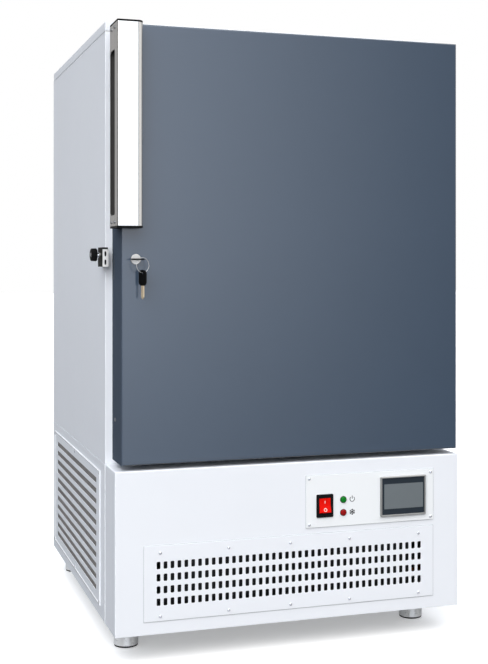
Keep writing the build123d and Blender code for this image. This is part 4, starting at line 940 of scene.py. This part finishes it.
@dataclass
class Studio:
    """The camera, the lamps, the room and the pale floor."""

    camera_at: Triple = (-0.890, -2.840, 0.845)
    yaw_degrees: float = -17.77
    lens: float = 63.44
    horizon_row: float = 263.56
    floor_size: float = 60.0
    floor_tone: float = 0.96
    floor_lift: float = 0.29
    floor_bounce: float = 0.06
    floor_roughness: float = 0.7
    floor_specular: float = 0.1
    sun_at: Triple = (0, 0, 4)
    sun_strength: float = 1.9
    sun_spread: float = 84.0
    sun_lean: float = 24.0
    sun_left: float = -6.0
    key_at: Triple = (-2.4, -3.6, 2.7)
    key_towards: Triple = (0, -0.2, 0.75)
    key_width: float = 2.0
    key_watts: float = 22
    gloss_below: float = 0.5
    gloss_horizon: Pair = (-0.17, 0.02)
    ahead_tint: Triple = (0.94, 0.99, 1.08)
    ahead_degrees: float = 35
    side_tint: Triple = (0.86, 0.985, 1.18)
    side_degrees: float = 65
    brightest: float = 3.0
    room: tuple[Pair, ...] = ((-180, 0.48), (-130, 0.42), (-100, 0.42), (-74, 0.75), (-58, 2.8), (-18, 2.8),
                              (0, 0.42), (30, 0.2), (60, 0.35), (110, 0.62), (180, 0.48))
    gloss_room: tuple[Pair, ...] = ((-180, 0.42), (-150, 0.42), (-120, 0.2), (-60, 0.12), (-35, 0.3),
                                    (-22, 2.4), (9, 2.4), (29, 0.12), (32, 0.2), (40, 1.1), (70, 1.0),
                                    (110, 0.5), (180, 0.42))

    def build(self) -> None:
        """Makes everything around the freezer."""
        self.camera()
        self.surroundings()
        self.floor()
        self.key()
        self.overhead()

    def camera(self) -> None:
        """Makes the level camera, whose shift puts the horizon above the middle."""
        data = bpy.data.cameras.new("camera")
        data.lens = self.lens
        data.shift_y = (self.horizon_row - IMAGE_HEIGHT / 2) / max(IMAGE_WIDTH, IMAGE_HEIGHT)
        camera = shown("camera", data)
        camera.location = self.camera_at
        camera.rotation_euler = (math.pi / 2, 0, math.radians(self.yaw_degrees))
        bpy.context.scene.camera = camera

    def surroundings(self) -> None:
        """Makes a room that is bright ahead of the freezer, and white where the camera sees it."""
        world = bpy.data.worlds.new("room")
        bpy.context.scene.world = world
        world.use_nodes = True
        tree = Nodes(world.node_tree)
        place = tree.add("ShaderNodeTexCoord").outputs["Generated"]
        axes = tree.add("ShaderNodeSeparateXYZ", {0: place}).outputs
        around = tree.math("ARCTAN2", axes["X"], tree.math("MULTIPLY", axes["Y"], -1))
        share = tree.ranged(around, (-math.pi, math.pi), (0, 1))
        dim = self.gloss_below * self.brightest
        level = tree.ranged(axes["Z"], self.gloss_horizon, (dim, self.brightest))
        path = tree.add("ShaderNodeLightPath").outputs
        seen = tree.add("ShaderNodeBackground", {"Color": WHITE_LIGHT, "Strength": 1.0}).outputs[0]
        room = self.walls(tree, self.room, share, self.brightest)
        gloss = self.walls(tree, self.gloss_room, share, level)
        lit = tree.add("ShaderNodeMixShader", {0: path["Is Glossy Ray"], 1: room, 2: gloss}).outputs[0]
        whole = tree.add("ShaderNodeMixShader", {0: path["Is Camera Ray"], 1: lit, 2: seen}).outputs[0]
        tree.feed(world.node_tree.nodes["World Output"].inputs["Surface"], whole)

    def walls(self, tree: Nodes, levels: tuple[Pair, ...], share: bpy.types.NodeSocket,
              strength: float | bpy.types.NodeSocket) -> bpy.types.NodeSocket:
        """Makes a background whose level changes round the freezer.

        Args:
            tree: The world's tree.
            levels: Degrees from straight ahead, to the right, with the level there.
            share: The socket with the direction, from 0 at -180 degrees to 1.
            strength: The brightest level, or the socket with it.

        Returns:
            The background's socket.
        """
        ramp = tree.add("ShaderNodeValToRGB", {"Fac": share})
        stops = ramp.color_ramp.elements
        for degrees, level in levels[1:-1]:
            stops.new((degrees + 180) / 360)
        for stop, (degrees, level) in zip(stops, levels):
            tint = EVEN
            if levels is self.gloss_room and abs(degrees) < self.ahead_degrees:
                tint = self.ahead_tint
            elif levels is self.room and abs(degrees) > self.side_degrees:
                tint = self.side_tint
            stop.color = (*(level / self.brightest * colour for colour in tint), 1)
        lit = {"Color": ramp.outputs["Color"], "Strength": strength}
        return tree.add("ShaderNodeBackground", lit).outputs[0]

    def floor(self) -> None:
        """Makes the pale floor, which keeps the shadow and looks white from the camera."""
        shader = Shader("floor")
        seen = shader.add("ShaderNodeLightPath").outputs["Is Camera Ray"]
        shader.dress({
            "Roughness": self.floor_roughness,
            "Specular IOR Level": self.floor_specular,
            "Emission Color": WHITE_LIGHT,
            "Emission Strength": shader.math("MULTIPLY", seen, self.floor_lift),
            "Base Color": shader.ranged(seen, (0, 1), (self.floor_bounce, self.floor_tone)),
        })
        half = self.floor_size / 2
        mesh = bpy.data.meshes.new("floor")
        mesh.from_pydata([(-half, -half, 0), (half, -half, 0), (half, half, 0), (-half, half, 0)], [],
                         [(0, 1, 2, 3)])
        mesh.materials.append(shader.material)
        floor = shown("floor", mesh)
        floor.visible_glossy = False

    def key(self) -> None:
        """Makes the soft square lamp ahead on the left."""
        data = bpy.data.lights.new("key", "AREA")
        data.size = self.key_width
        data.energy = self.key_watts
        lamp = shown("key", data)
        lamp.location = self.key_at
        towards = Vector(self.key_towards) - Vector(self.key_at)
        lamp.rotation_euler = towards.to_track_quat("-Z", "Y").to_euler()

    def overhead(self) -> None:
        """Makes the broad light from above, which gives the floor its close shadow."""
        data = bpy.data.lights.new("overhead", "SUN")
        data.energy = self.sun_strength
        data.angle = math.radians(self.sun_spread)
        lamp = shown("overhead", data)
        lamp.location = self.sun_at
        lamp.rotation_euler = (math.radians(self.sun_lean), 0, -math.radians(self.sun_left))


@dataclass
class Cabinet:
    """The insulated cabinet: shell, cover, chamber, shelves and inner doors."""

    edge: float = 0.0009
    rail_edge: float = 0.0004
    ear_edge: float = 0.0005
    inner_door_edge: float = 0.0012
    cover_edge: float = 0.0018
    cover_corner: float = 0.004
    seam: float = 0.0012
    bead: float = 0.0010
    bead_proud: float = 0.0003
    bead_edge: float = 0.0001
    bead_gap: float = 0.001
    corner_bead: float = 0.0036
    corner_proud: float = 0.0014
    corner_round_share: float = 0.6

    def build(self) -> None:
        """Dresses the cabinet's pieces."""
        self.cover()
        for node, name, finish, edge in (
            ("cabinet_shell", "cabinet_case", WHITE, self.edge),
            ("breaker_collar", "mouth_collar", WHITE_PLASTIC, self.edge),
            ("chamber_liner", "chamber_walls", STEEL_FLAT, 0),
            ("cabinet_foam", "cabinet_insulation", FOAM, 0),
            ("shelf_supports", "shelf_tracks", STEEL, self.rail_edge),
            ("shelves", "sample_shelves", STEEL_FLAT, self.rail_edge),
            ("inner_hinge_ears", "inner_door_ears", STEEL, self.ear_edge),
        ):
            dressed(node, name, finish, edge)
        for level in ("upper_inner", "lower_inner"):
            dressed(f"{level}_door", f"{level}_panel", WHITE_PLASTIC, self.inner_door_edge, level)
        self.beads()

    def cover(self) -> None:
        """Makes the top cover, lifted off the case by a fine seam."""
        box = Box("top_cover")
        depth = box.size.z - self.seam
        outline = rectangle(box.size.x, box.size.y, self.cover_corner)
        mesh = prism(outline, depth, Side.TOP.on(box, -depth), self.cover_edge)
        piece("cabinet_cover", mesh, WHITE, "cabinet", "top_cover")

    def beads(self) -> None:
        """Makes the sealed joints between the cabinet, its cover and the base: grey strips that are partly
        sealant and partly painted seam shadow, and bright beads at the base's front corners.
        """
        shell, base = Box("cabinet_shell"), Box("base_panels")
        strips = []
        for z in (Box("top_cover").low.z + self.seam / 2, shell.low.z):
            for side in (Side.LEFT, Side.RIGHT, Side.BACK, Side.FRONT):
                length = shell.size.y if side in (Side.LEFT, Side.RIGHT) else shell.size.x
                place = side.on(shell, up=z - shell.middle.z)
                strips.append(prism(rectangle(length - 2 * self.bead_gap, self.bead), self.bead_proud, place,
                                    self.bead_edge))
        outline = rectangle(self.corner_bead, base.size.z - 2 * self.bead_gap)
        corners = [prism(outline, self.corner_proud, side.on(base, across=share * base.size.y),
                         self.corner_proud * self.corner_round_share)
                   for side, share in ((Side.LEFT, 0.5), (Side.RIGHT, -0.5))]
        piece("base_corner_beads", joined(corners), WHITE_PAINTED_HIGHLIGHT, "cabinet")
        piece("seam_beads", joined(strips), SEAL_AND_SEAM_SHADE, "cabinet")


@dataclass
class PlateSeal:
    """The grey strip that shows round the edge of a plate on the front, partly a seal and partly painted
    shadow of the gap under the plate's edge.
    """

    width: float = 0.0010
    height: float = 0.0006
    tuck: float = 0.0004

    def build(self, name: str, node: str) -> None:
        """Makes the strip.

        Args:
            name: The plate's name.
            node: The plate's frame node.
        """
        plate = Box(node)
        section = [(-self.tuck, 0), (self.width, 0), (self.width, self.height), (-self.tuck, self.height)]
        strip = mitred_frame(plate.size.x, plate.size.z, section, Side.FRONT.on(plate, -plate.size.y))
        piece(f"{name}_seal", strip, SEAL_AND_SEAM_SHADE, "cabinet")


@dataclass
class MachineBase:
    """The base: front panel, slotted grille, louvred inserts, filters, screws and feet."""

    edge: float = 0.001
    gland_edge: float = 0.0006
    grille_slots: Slots = Slots((0.0082, 0.0155), 0.0022, (0.0152, 0.0259), (41, 4))
    slots_up: float = 0.079
    slots_left: float = 0.0015
    slot_edge: float = 0.0003
    louvre_count: int = 11
    louvre_pitch: float = 0.0242
    louvre_slot_height: float = 0.0125
    louvre_slot_corner: float = 0.0015
    louvre_margin: float = 0.044
    louvre_edge: float = 0.0004
    rim_width: float = 0.0050
    rim_height: float = 0.0026
    rim_lift: float = 0.0005
    rim_steps: int = 10
    wire_pitch: float = 0.0042
    wire_radius: float = 0.0007
    wire_depth: float = 0.0008
    pad_thickness: float = 0.003
    pad_depth: float = 0.0052
    pad_edge: float = 0.0006
    hem_height: float = 0.010
    hem_drop: float = 0.0008
    hem_thickness: float = 0.0009
    hem_edge: float = 0.0003
    grille_screw_shares: tuple[float, ...] = (0.052, 0.277, 0.487, 0.694, 0.945)
    grille_screws_low: float = 0.010
    grille_screws_high: float = 0.0155
    screw_inset: float = 0.007
    foot_edge: float = 0.0006
    foot_bore: float = 0.0081
    foot_pad_shares: tuple[Pair, ...] = ((0, 0), (0.93, 0), (0.985, 0.15), (1, 0.4), (1, 0.8), (0.96, 1))

    def build(self) -> None:
        """Dresses the base."""
        for node, name, finish in (
            ("base_front_panel", "base_front", WHITE),
            ("base_panels", "base_sides", WHITE),
            ("base_tray", "base_floor", ZINC),
        ):
            dressed(node, name, finish, self.edge)
        piece("base_chassis", cad_mesh("base_frame", self.edge, flat=False), ZINC, "cabinet", "base_frame")
        dressed("cord_gland", "cord_hole_gland", BLACK, self.gland_edge)
        self.grille()
        for side, name in FLANKS:
            self.louvre(side, name)
            self.filter(side, name)
            self.hem(side, name)
        self.screws()
        self.feet()

    def grille(self) -> None:
        """Makes the slotted front grille on its sealing strip."""
        box = Box("front_grille")
        up = self.slots_up - box.size.z / 2
        sheet = self.grille_slots.sheet(box, Side.FRONT, box.size.y, (-self.slots_left, up), WHITE)
        piece("front_slot_grille", softened(sheet, self.slot_edge, 1), WHITE, "cabinet", "front_grille")
        PlateSeal().build("grille", "front_grille")

    def louvre(self, side: Side, name: str) -> None:
        """Makes one louvred insert with its raised rim.

        Args:
            side: The side that it faces.
            name: The side's name.
        """
        box = Box("side_louvres")
        depth = box.high.x - Box("base_panels").high.x
        slots = Slots((box.size.y - 2 * self.louvre_margin, self.louvre_slot_height), self.louvre_slot_corner,
                      (0.0, self.louvre_pitch), (1, self.louvre_count))
        sheet = slots.sheet(box, side, depth, (0.0, 0.0), WHITE)
        piece(f"{name}_louvre_sheet", softened(sheet, self.louvre_edge), WHITE, "cabinet", "side_louvres")
        turns = [math.pi * step / self.rim_steps for step in range(self.rim_steps + 1)]
        section = [(self.rim_width * (math.cos(turn) - 1) / 2,
                    self.rim_height * math.sin(turn) + self.rim_lift) for turn in turns]
        rim = mitred_frame(box.size.y, box.size.z, section, side.on(box, -depth))
        # The rim takes the lighter copy of the white paint: partly a painted highlight.
        piece(f"{name}_louvre_rim", rim, WHITE_PAINTED_HIGHLIGHT, "cabinet")

    def filter(self, side: Side, name: str) -> None:
        """Makes the filter behind a louvred insert: a wire cloth over a dark pad.

        Args:
            side: The side that it faces.
            name: The side's name.
        """
        box = Box("side_filters")
        width, height = box.size.y, box.size.z
        wires = wire_cloth(width, height, self.wire_pitch, self.wire_radius, MESH)
        wires.transform(side.on(box, -self.wire_depth))
        piece(f"{name}_filter_wires", wires, MESH, "cabinet", "side_filters")
        place = side.on(box, -self.pad_depth)
        pad = prism(rectangle(width, height), self.pad_thickness, place, self.pad_edge)
        piece(f"{name}_filter_pad", pad, MESH_BACK, "cabinet", "side_filters")

    def hem(self, side: Side, name: str) -> None:
        """Makes the folded hem along the top of a side panel.

        Args:
            side: The side that it faces.
            name: The side's name.
        """
        box = Box("base_panels")
        outline = rectangle(box.size.y - 2 * self.hem_drop, self.hem_height)
        place = side.on(box, up=(box.size.z - self.hem_height) / 2 - self.hem_drop)
        piece(f"{name}_base_hem", prism(outline, self.hem_thickness, place, self.hem_edge), WHITE, "cabinet")

    def screws(self) -> None:
        """Makes the cross-head screws of the grille, control plate and louvres."""
        head = ScrewHead()
        grille, plate, louvres = Box("front_grille"), Box("control_plate"), Box("side_louvres")
        rows = (grille.low.z + self.grille_screws_low, grille.high.z - self.grille_screws_high)
        front = [(grille.low.x + share * grille.size.x, z, -grille.low.y)
                 for share in self.grille_screw_shares for z in rows]
        inset = self.screw_inset
        front += [(x, z, -plate.low.y) for x in (plate.low.x + inset, plate.high.x - inset)
                  for z in (plate.low.z + inset, plate.high.z - inset)]
        piece("front_screws", head.copies(front, Side.FRONT.at(0, 0, 0), BRIGHT), BRIGHT, "cabinet",
              "panel_screws")
        reach_y, reach_z = louvres.size.y / 2 - inset, louvres.size.z / 2 - inset
        places = [(y, z, 0) for y in (-reach_y, 0, reach_y) for z in (-reach_z, reach_z)]
        for side, name in FLANKS:
            piece(f"{name}_louvre_screws", head.copies(places, side.on(louvres), BRIGHT), BRIGHT, "cabinet",
                  "panel_screws")

    def feet(self) -> None:
        """Makes the four levelling feet and their rubber pads."""
        for corner in ("front_left", "front_right", "rear_left", "rear_right"):
            # The steel feet take the near-white colour with painted sheen.
            dressed(f"{corner}_foot", f"{corner}_steel_foot", FOOT_STEEL_PAINTED_SHEEN, self.foot_edge, f"{corner}_bell")
            box = Box(f"{corner}_pad")
            radius, height = box.size.x / 2, box.size.z
            profile = [(radius * wide, height * up) for wide, up in self.foot_pad_shares]
            profile += [(self.foot_bore, height), (self.foot_bore, height / 2), (0, height / 2)]
            pad = lathe(profile, Side.TOP.on(box, -height))
            piece(f"{corner}_rubber_pad", pad, TYRE, f"{corner}_pad", f"{corner}_pad")


@dataclass
class Door:
    """The main door: skin, liner, foam, gasket and hinges."""

    skin_edge: float = 0.0006
    liner_edge: float = 0.001
    hinge_edge: float = 0.0006
    screw_edge: float = 0.0003
    return_slope: float = 0.6
    gasket_width: float = 0.026
    gasket_pleat: float = 0.003
    pleat_shares: tuple[Pair, ...] = ((0, 0), (0, 0.25), (1, 0.4), (0, 0.55), (0, 0.85), (1, 1))

    def build(self) -> None:
        """Dresses the door."""
        # The door's side faces take a duller copy of the slate coat: painted shade.
        sides, front = split(cad_mesh("door_skin", self.skin_edge),
                             lambda centre, normal: abs(normal.x) > self.return_slope)
        piece("door_face", front, SLATE, "door", "door_skin")
        piece("door_face_returns", sides, SLATE_SIDES_PAINTED_SHADE, "door", "door_skin")
        dressed("door_liner", "door_inside", WHITE_PLASTIC, self.liner_edge, "door")
        dressed("door_foam", "door_insulation", FOAM, 0, "door")
        self.gasket()
        dressed("hinge_cabinet_leaves", "cabinet_hinge_leaves", STEEL, self.hinge_edge)
        dressed("hinge_door_leaves", "door_hinge_leaves", STEEL, self.hinge_edge, "door")
        dressed("door_fasteners", "door_screws", SCREW, self.screw_edge, "door")

    def gasket(self) -> None:
        """Makes the bellows gasket round the door's back."""
        box = Box("door_gasket")
        pleats = [(inset * self.gasket_pleat, up * box.size.y) for inset, up in self.pleat_shares]
        section = [(-inset, up) for inset, up in pleats]
        section += [(inset - self.gasket_width, up) for inset, up in reversed(pleats)]
        bellows = mitred_frame(box.size.x, box.size.z, section, Side.BACK.on(box, -box.size.y))
        piece("bellows_gasket", bellows, GASKET, "door", "door_gasket")


@dataclass
class Handle:
    """The folded steel channel with its finger slot and moulded ends."""

    sheet: float = 0.002
    sheet_edge: float = 0.0003
    end_edge: float = 0.0006
    hollow_back: float = 0.02
    end_slope: float = 0.5
    lip: float = 0.0012
    lip_edge: float = 0.0002
    lip_gap: float = 0.0004
    corner: float = 0.003
    bevel: float = 0.013
    bend_steps: int = 12
    foot: float = 0.016
    slot_setback: float = 0.027
    slot_width: float = 0.047
    slot_bottom: float = 0.027
    slot_top: float = 0.058
    slot_corner: float = 0.006

    def build(self) -> None:
        """Makes the channel and its ends."""
        outside, inside = split(self.channel(), self.faces_out)
        piece("handle_steel", softened(outside, self.sheet_edge), STEEL, "door", "handle_channel")
        # The faces inside the hollow take the dark copy of the steel: painted shade.
        piece("handle_steel_inside", smoothed(inside), STEEL_PAINTED_SHADE, "door", "handle_channel")
        dressed("handle_mounts", "handle_ends", BLACK, self.end_edge, "door")
        # A dark plate closes the hollow's back so that the finger slot shows dark: a sheet of painted shade.
        box = Box("handle_channel")
        left, right = box.low.x + self.sheet / 2, Box("door_skin").low.x - self.lip_gap
        lip = prism(rectangle(right - left, box.size.z - self.sheet), self.lip,
                    Side.FRONT.at((left + right) / 2, box.high.y, box.middle.z), self.lip_edge)
        piece("handle_back_lip", lip, STEEL_PAINTED_SHADE, "door", "handle_channel")

    def faces_out(self, centre: Vector, normal: Vector) -> bool:
        """Whether a face of the channel looks away from its hollow."""
        box = Box("handle_channel")
        axis = Vector((box.middle.x, box.high.y - self.hollow_back, centre.z))
        return normal.dot(centre - axis) > 0 or abs(normal.z) > self.end_slope

    def channel(self) -> bpy.types.Mesh:
        """The channel with its finger slot cut.

        Returns:
            The mesh, in place.
        """
        box, ends, inner = Box("handle_channel"), Box("handle_mounts"), self.sheet
        low, high, front_y = box.low, box.high, Box("door_skin").low.y
        points = [
            (low.x, high.y), (low.x, low.y), (high.x, low.y), (high.x, front_y),
            (high.x - self.foot, front_y), (high.x - self.foot, front_y - inner),
            (high.x - inner, front_y - inner), (high.x - inner, low.y + inner),
            (low.x + inner, low.y + inner), (low.x + inner, high.y),
        ]
        radii = [0, self.corner, self.bevel, 0, 0, 0, 0, self.bevel - inner, self.corner - inner, 0]
        folded = prism(rounded(points, radii, self.bend_steps), box.size.z, Side.TOP.at(0, 0, low.z))
        slot_low, slot_high = ends.low.z + self.slot_bottom, ends.high.z - self.slot_top
        centre_y = low.y + self.slot_setback + self.slot_width / 2
        hole = rectangle(self.slot_width, slot_high - slot_low, self.slot_corner)
        # The cutter stands one sheet out of each face of the channel's left wall.
        cutter = prism(hole, 3 * inner, Side.LEFT.at(low.x + 2 * inner, centre_y, (slot_low + slot_high) / 2))
        holder, slot = shown("channel", folded), shown("slot", cutter)
        modify(holder, "BOOLEAN", operation="DIFFERENCE", object=slot, solver="EXACT")
        cut = plain_mesh(holder)
        bpy.data.objects.remove(slot)
        return cleaned(cut)


@dataclass
class Keys:
    """The lock, its key, the split ring and the spare key."""

    lock_edge: float = 0.0004
    core_edge: float = 0.0002
    bow_edge: float = 0.0006
    blade_edge: float = 0.0002
    bow_length: float = 0.033
    bow_depth: float = 0.033
    wire: float = 0.00055
    wire_resolution: int = 3
    wire_sharp_degrees: float = 50
    ring_radius: float = 0.0157
    ring_turn_degrees: float = 23
    ring_steps: int = 120

    def build(self) -> None:
        """Makes the lock and its keys."""
        dressed("lock_body", "lock_housing", SATIN, self.lock_edge, "door")
        dressed("lock_cylinder", "lock_core", SATIN, self.core_edge, "lock")
        bow_back = Box("lock_key").low.y + self.bow_depth
        self.key("key_in_lock", "lock_key", "key", lambda centre, normal: centre.y < bow_back)
        bow_bottom = Box("spare_key").high.z - self.bow_length
        self.key("hanging_key", "spare_key", "spare", lambda centre, normal: centre.z > bow_bottom)
        self.ring()

    def key(self, name: str, node: str, body: str, bow: Callable[[Vector, Vector], bool]) -> None:
        """Makes a key with a moulded bow and a brass blade.

        Args:
            name: The key's name.
            node: The frame node that it stands for.
            body: The body that it rides on.
            bow: Whether a face of a given middle and normal is on the bow.
        """
        head, blade = split(cad_mesh(node), bow)
        piece(f"{name}_bow", softened(head, self.bow_edge), BLACK, body, node)
        piece(f"{name}_blade", softened(blade, self.blade_edge), BRASS, body, node)

    def ring(self) -> None:
        """Makes the split ring: two turns of wire side by side."""
        centre = Box("key_ring").middle
        turn = math.radians(self.ring_turn_degrees)
        along = Vector((math.cos(turn), math.sin(turn), 0))
        normal = Vector((math.sin(turn), -math.cos(turn), 0))
        points = []
        for step in range(2 * self.ring_steps + 1):
            angle = math.tau * step / self.ring_steps
            side = self.wire * (step / self.ring_steps - 1)
            rise = Vector((0, 0, self.ring_radius * math.sin(angle)))
            points.append(centre + along * (self.ring_radius * math.cos(angle)) + rise + normal * side)
        wire = curved(points, False, dimensions="3D", bevel_depth=self.wire,
                      bevel_resolution=self.wire_resolution, use_fill_caps=True)
        piece("split_ring", smoothed(cleaned(wire), self.wire_sharp_degrees), WIRE, "ring", "key_ring")


@dataclass
class Strike:
    """The strike on the cabinet's corner with its plate and locking knob."""

    body_edge: float = 0.0006
    plate_edge: float = 0.0003
    grip_depth: float = 0.0135
    grip_shares: tuple[float, ...] = (0, 0.86, 0.97, 1, 1, 0.95, 0.84, 0.56, 0.50, 0)
    grip_faces: int = 96
    flute: float = 0.0007
    heel: float = 0.001
    swell: float = 0.0025
    shoulder: float = 0.003
    crown: float = 0.0008
    dish: float = 0.0014
    spindle_radius: float = 0.0068
    spindle_faces: int = 32
    screw: ScrewHead = ScrewHead(radius=0.0052, height=0.0013, arm=0.0034, arm_width=0.0012)

    def build(self) -> None:
        """Dresses the strike."""
        dressed("strike_body", "strike_block", BLACK, self.body_edge)
        dressed("strike_plate", "strike_face_plate", SATIN, self.plate_edge)
        self.knob()

    def knob(self) -> None:
        """Makes the fluted knob with its bright spindle and centre screw."""
        box = Box("strike_knob")
        radius, depth, length = box.size.y / 2, self.grip_depth, box.size.x - self.grip_depth
        heights = (0, 0, self.heel, self.swell, depth - self.shoulder, depth - self.crown, depth, depth,
                   depth - self.dish, depth - self.dish)
        profile = [(radius * share, height) for share, height in zip(self.grip_shares, heights)]
        grip = lathe(profile, Side.LEFT.on(box, -depth), self.grip_faces, self.flute)
        piece("strike_grip", grip, BLACK, "strike_knob", "strike_knob")
        bolt = [(0, 0), (self.spindle_radius, 0), (self.spindle_radius, length), (0, length)]
        spindle = lathe(bolt, Side.LEFT.on(box, -box.size.x), self.spindle_faces)
        screw = self.screw.mesh()
        screw.transform(Side.LEFT.on(box, -self.dish))
        piece("strike_spindle", smoothed(joined([spindle, screw])), BRIGHT, "strike_knob", "strike_knob")


@dataclass
class ControlPanel:
    """The control plate with the rocker switch, two lamps and the display."""

    plate_edge: float = 0.0005
    switch_edge: float = 0.0006
    pane_edge: float = 0.0003
    stroke: float = 0.0015
    print_depth: float = 0.00012
    arc_steps: int = 24
    mark_size: float = 0.0031
    symbol_size: float = 0.0068
    symbol_right: float = 0.0215
    power_share: float = 0.8
    power_gap_degrees: float = 38
    power_stroke_share: float = 0.1
    spokes: int = 6
    fork_share: float = 0.55
    prong_share: float = 0.4
    prong_turn: float = 0.8
    lamp_ring: float = 0.0010
    ring_shares: tuple[Pair, ...] = ((0, 0), (1, 0), (1, 0.6), (0.5, 1), (0, 1))
    screen_sides: Pair = (0.0062, 0.0036)
    screen_ends: Pair = (0.0138, 0.0140)
    screen_proud: float = 0.0002
    screen_corner: float = 0.0008
    bead_inset: float = 0.0003
    bead_width: float = 0.0038
    bead_proud: float = 0.0016
    bead_sunk: float = 0.0002
    bead_shares: tuple[Pair, ...] = ((0, 0.4), (0.3, 1), (0.7, 1))

    def build(self) -> None:
        """Dresses the control panel."""
        dressed("control_plate", "panel_plate", PLATE, self.plate_edge)
        PlateSeal().build("control_plate", "control_plate")
        dressed("rocker_frame", "rocker_bezel", BLACK, self.switch_edge)
        dressed("rocker_switch", "rocker_button", RED, self.switch_edge, "rocker")
        self.rocker_marks()
        self.lamps(Box("control_plate").low.y)
        self.display()

    def printed(self, outlines: list[list[Pair]], x: float, y: float, z: float) -> bpy.types.Mesh:
        """A flat print of outlines.

        Args:
            outlines: The closed outlines, each filled.
            x: The middle of the print.
            y: The surface that it is printed on.
            z: Its height.

        Returns:
            The mesh, in place.
        """
        place = Side.FRONT.at(x, y, z)
        return joined([prism(points, self.print_depth, place) for points in outlines])

    def bar(self, length: float, turn: float, start: float = 0.0, foot: Pair = (0, 0)) -> list[Pair]:
        """The outline of a stroke from a point, turned from straight up."""
        points = [(x, y + start + length / 2) for x, y in rectangle(self.stroke, length)]
        return [tuple(Matrix.Rotation(-turn, 2) @ Vector(point) + Vector(foot)) for point in points]

    def arc(self, radius: float, first: float, last: float) -> list[Pair]:
        """The outline of a curved stroke between two angles from straight up."""
        turns = [first + (last - first) * step / self.arc_steps for step in range(self.arc_steps + 1)]
        outer, inner = [[(reach * math.sin(turn), reach * math.cos(turn)) for turn in turns]
                        for reach in (radius + self.stroke / 2, radius - self.stroke / 2)]
        return outer + inner[::-1]

    def rocker_marks(self) -> None:
        """Prints the line and the circle of an on and off switch on the rocker."""
        box = Box("rocker_switch")
        x, z, quarter = box.middle.x, box.middle.z, box.size.z / 4
        line = self.printed([self.bar(2 * self.mark_size, 0, -self.mark_size)], x, 0, z + quarter)
        halves = [self.arc(self.mark_size, 0, math.pi), self.arc(self.mark_size, math.pi, math.tau)]
        ring = self.printed(halves, x, 0, z - quarter)
        piece("rocker_marks", smoothed(draped(joined([line, ring]), "rocker_switch")), MARK, "rocker")

    def lamps(self, plate_y: float) -> None:
        """Makes the two lamps, each in a ring and with a plain symbol beside it.

        Args:
            plate_y: The front of the control plate.
        """
        for node, name, finish, symbol in (("power_lamp", "green_lamp", GREEN_LENS, self.power_symbol()),
                                           ("cooling_lamp", "red_lamp", RED_LENS, self.frost_symbol())):
            box = Box(node)
            x, z = box.middle.x, box.middle.z
            dressed(node, name, finish)
            profile = [(box.size.x / 2 + wide * self.lamp_ring, up * self.lamp_ring)
                       for wide, up in self.ring_shares]
            piece(f"{name}_ring", lathe(profile, Side.FRONT.at(x, plate_y, z)), BLACK, "cabinet")
            print_mesh = self.printed(symbol, x + self.symbol_right, plate_y, z)
            piece(f"{name}_symbol", smoothed(print_mesh), INK, "cabinet")

    def power_symbol(self) -> list[list[Pair]]:
        """The outlines of an open circle with a stroke in its gap."""
        reach, gap = self.symbol_size, math.radians(self.power_gap_degrees)
        circle = self.arc(reach * self.power_share, gap, math.tau - gap)
        return [circle, self.bar(reach, 0, reach * self.power_stroke_share)]

    def frost_symbol(self) -> list[list[Pair]]:
        """Draws a six-pointed crystal with forked ends.

        Returns:
            The outlines of its strokes.
        """
        reach = self.symbol_size
        turns = [math.tau * spoke / self.spokes for spoke in range(self.spokes)]
        frost = [self.bar(2 * reach, turn, -reach) for turn in turns[:self.spokes // 2]]
        for turn in turns:
            fork = (reach * self.fork_share * math.sin(turn), reach * self.fork_share * math.cos(turn))
            frost += [self.bar(reach * self.prong_share, turn + lean, 0, fork)
                      for lean in (-self.prong_turn, self.prong_turn)]
        return frost

    def display(self) -> None:
        """Makes the display: a steel frame, a dark border and the grey screen."""
        dressed("display_frame", "display_bezel", BEZEL, self.plate_edge)
        frame_box, glass = Box("display_frame"), Box("display_glass")
        section = [(0, -self.bead_sunk)]
        section += [(-wide * self.bead_width, up * self.bead_proud) for wide, up in self.bead_shares]
        section += [(-self.bead_width, -self.bead_sunk)]
        bead = mitred_frame(frame_box.size.x - 2 * self.bead_inset, frame_box.size.z - 2 * self.bead_inset,
                            section, Side.FRONT.on(frame_box))
        piece("display_bezel_bead", bead, BEZEL, "cabinet")
        dressed("display_glass", "display_pane", SCREEN_EDGE, self.pane_edge)
        left, right = glass.low.x + self.screen_sides[0], glass.high.x - self.screen_sides[1]
        bottom, top = glass.low.z + self.screen_ends[0], glass.high.z - self.screen_ends[1]
        screen = prism(rectangle(right - left, top - bottom, self.screen_corner), self.screen_proud,
                       Side.FRONT.at((left + right) / 2, glass.low.y, (bottom + top) / 2))
        piece("display_screen", screen, SCREEN, "cabinet", "display_glass")


@dataclass
class Machinery:
    """The refrigeration behind the panels."""

    def build(self) -> None:
        """Dresses the machinery."""
        for node, name, finish in (
            ("condenser", "condenser_coil", FINS),
            ("fan_shroud", "fan_ring", ENAMEL),
            ("fan_motor", "fan_motor_case", ZINC),
            ("high_stage_compressor", "high_stage_pot", ENAMEL),
            ("low_stage_compressor", "low_stage_pot", ENAMEL),
            ("compressor_grommets", "compressor_rubbers", TYRE),
            ("cascade_exchanger", "exchanger_block", FOAM),
            ("refrigerant_lines", "copper_lines", COPPER),
        ):
            dressed(node, name, finish)
        dressed("fan_rotor", "fan_blades", BLACK, body="fan")


def main() -> None:
    """Builds the studio and every sub-assembly."""
    logging.basicConfig(level=logging.INFO, format="%(message)s")
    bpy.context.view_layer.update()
    bpy.context.scene.view_settings.view_transform = "Standard"
    for part in (Studio(), Cabinet(), MachineBase(), Door(), Handle(), Keys(), Strike(), ControlPanel(),
                 Machinery()):
        part.build()


if __name__ == "__main__":
    main()
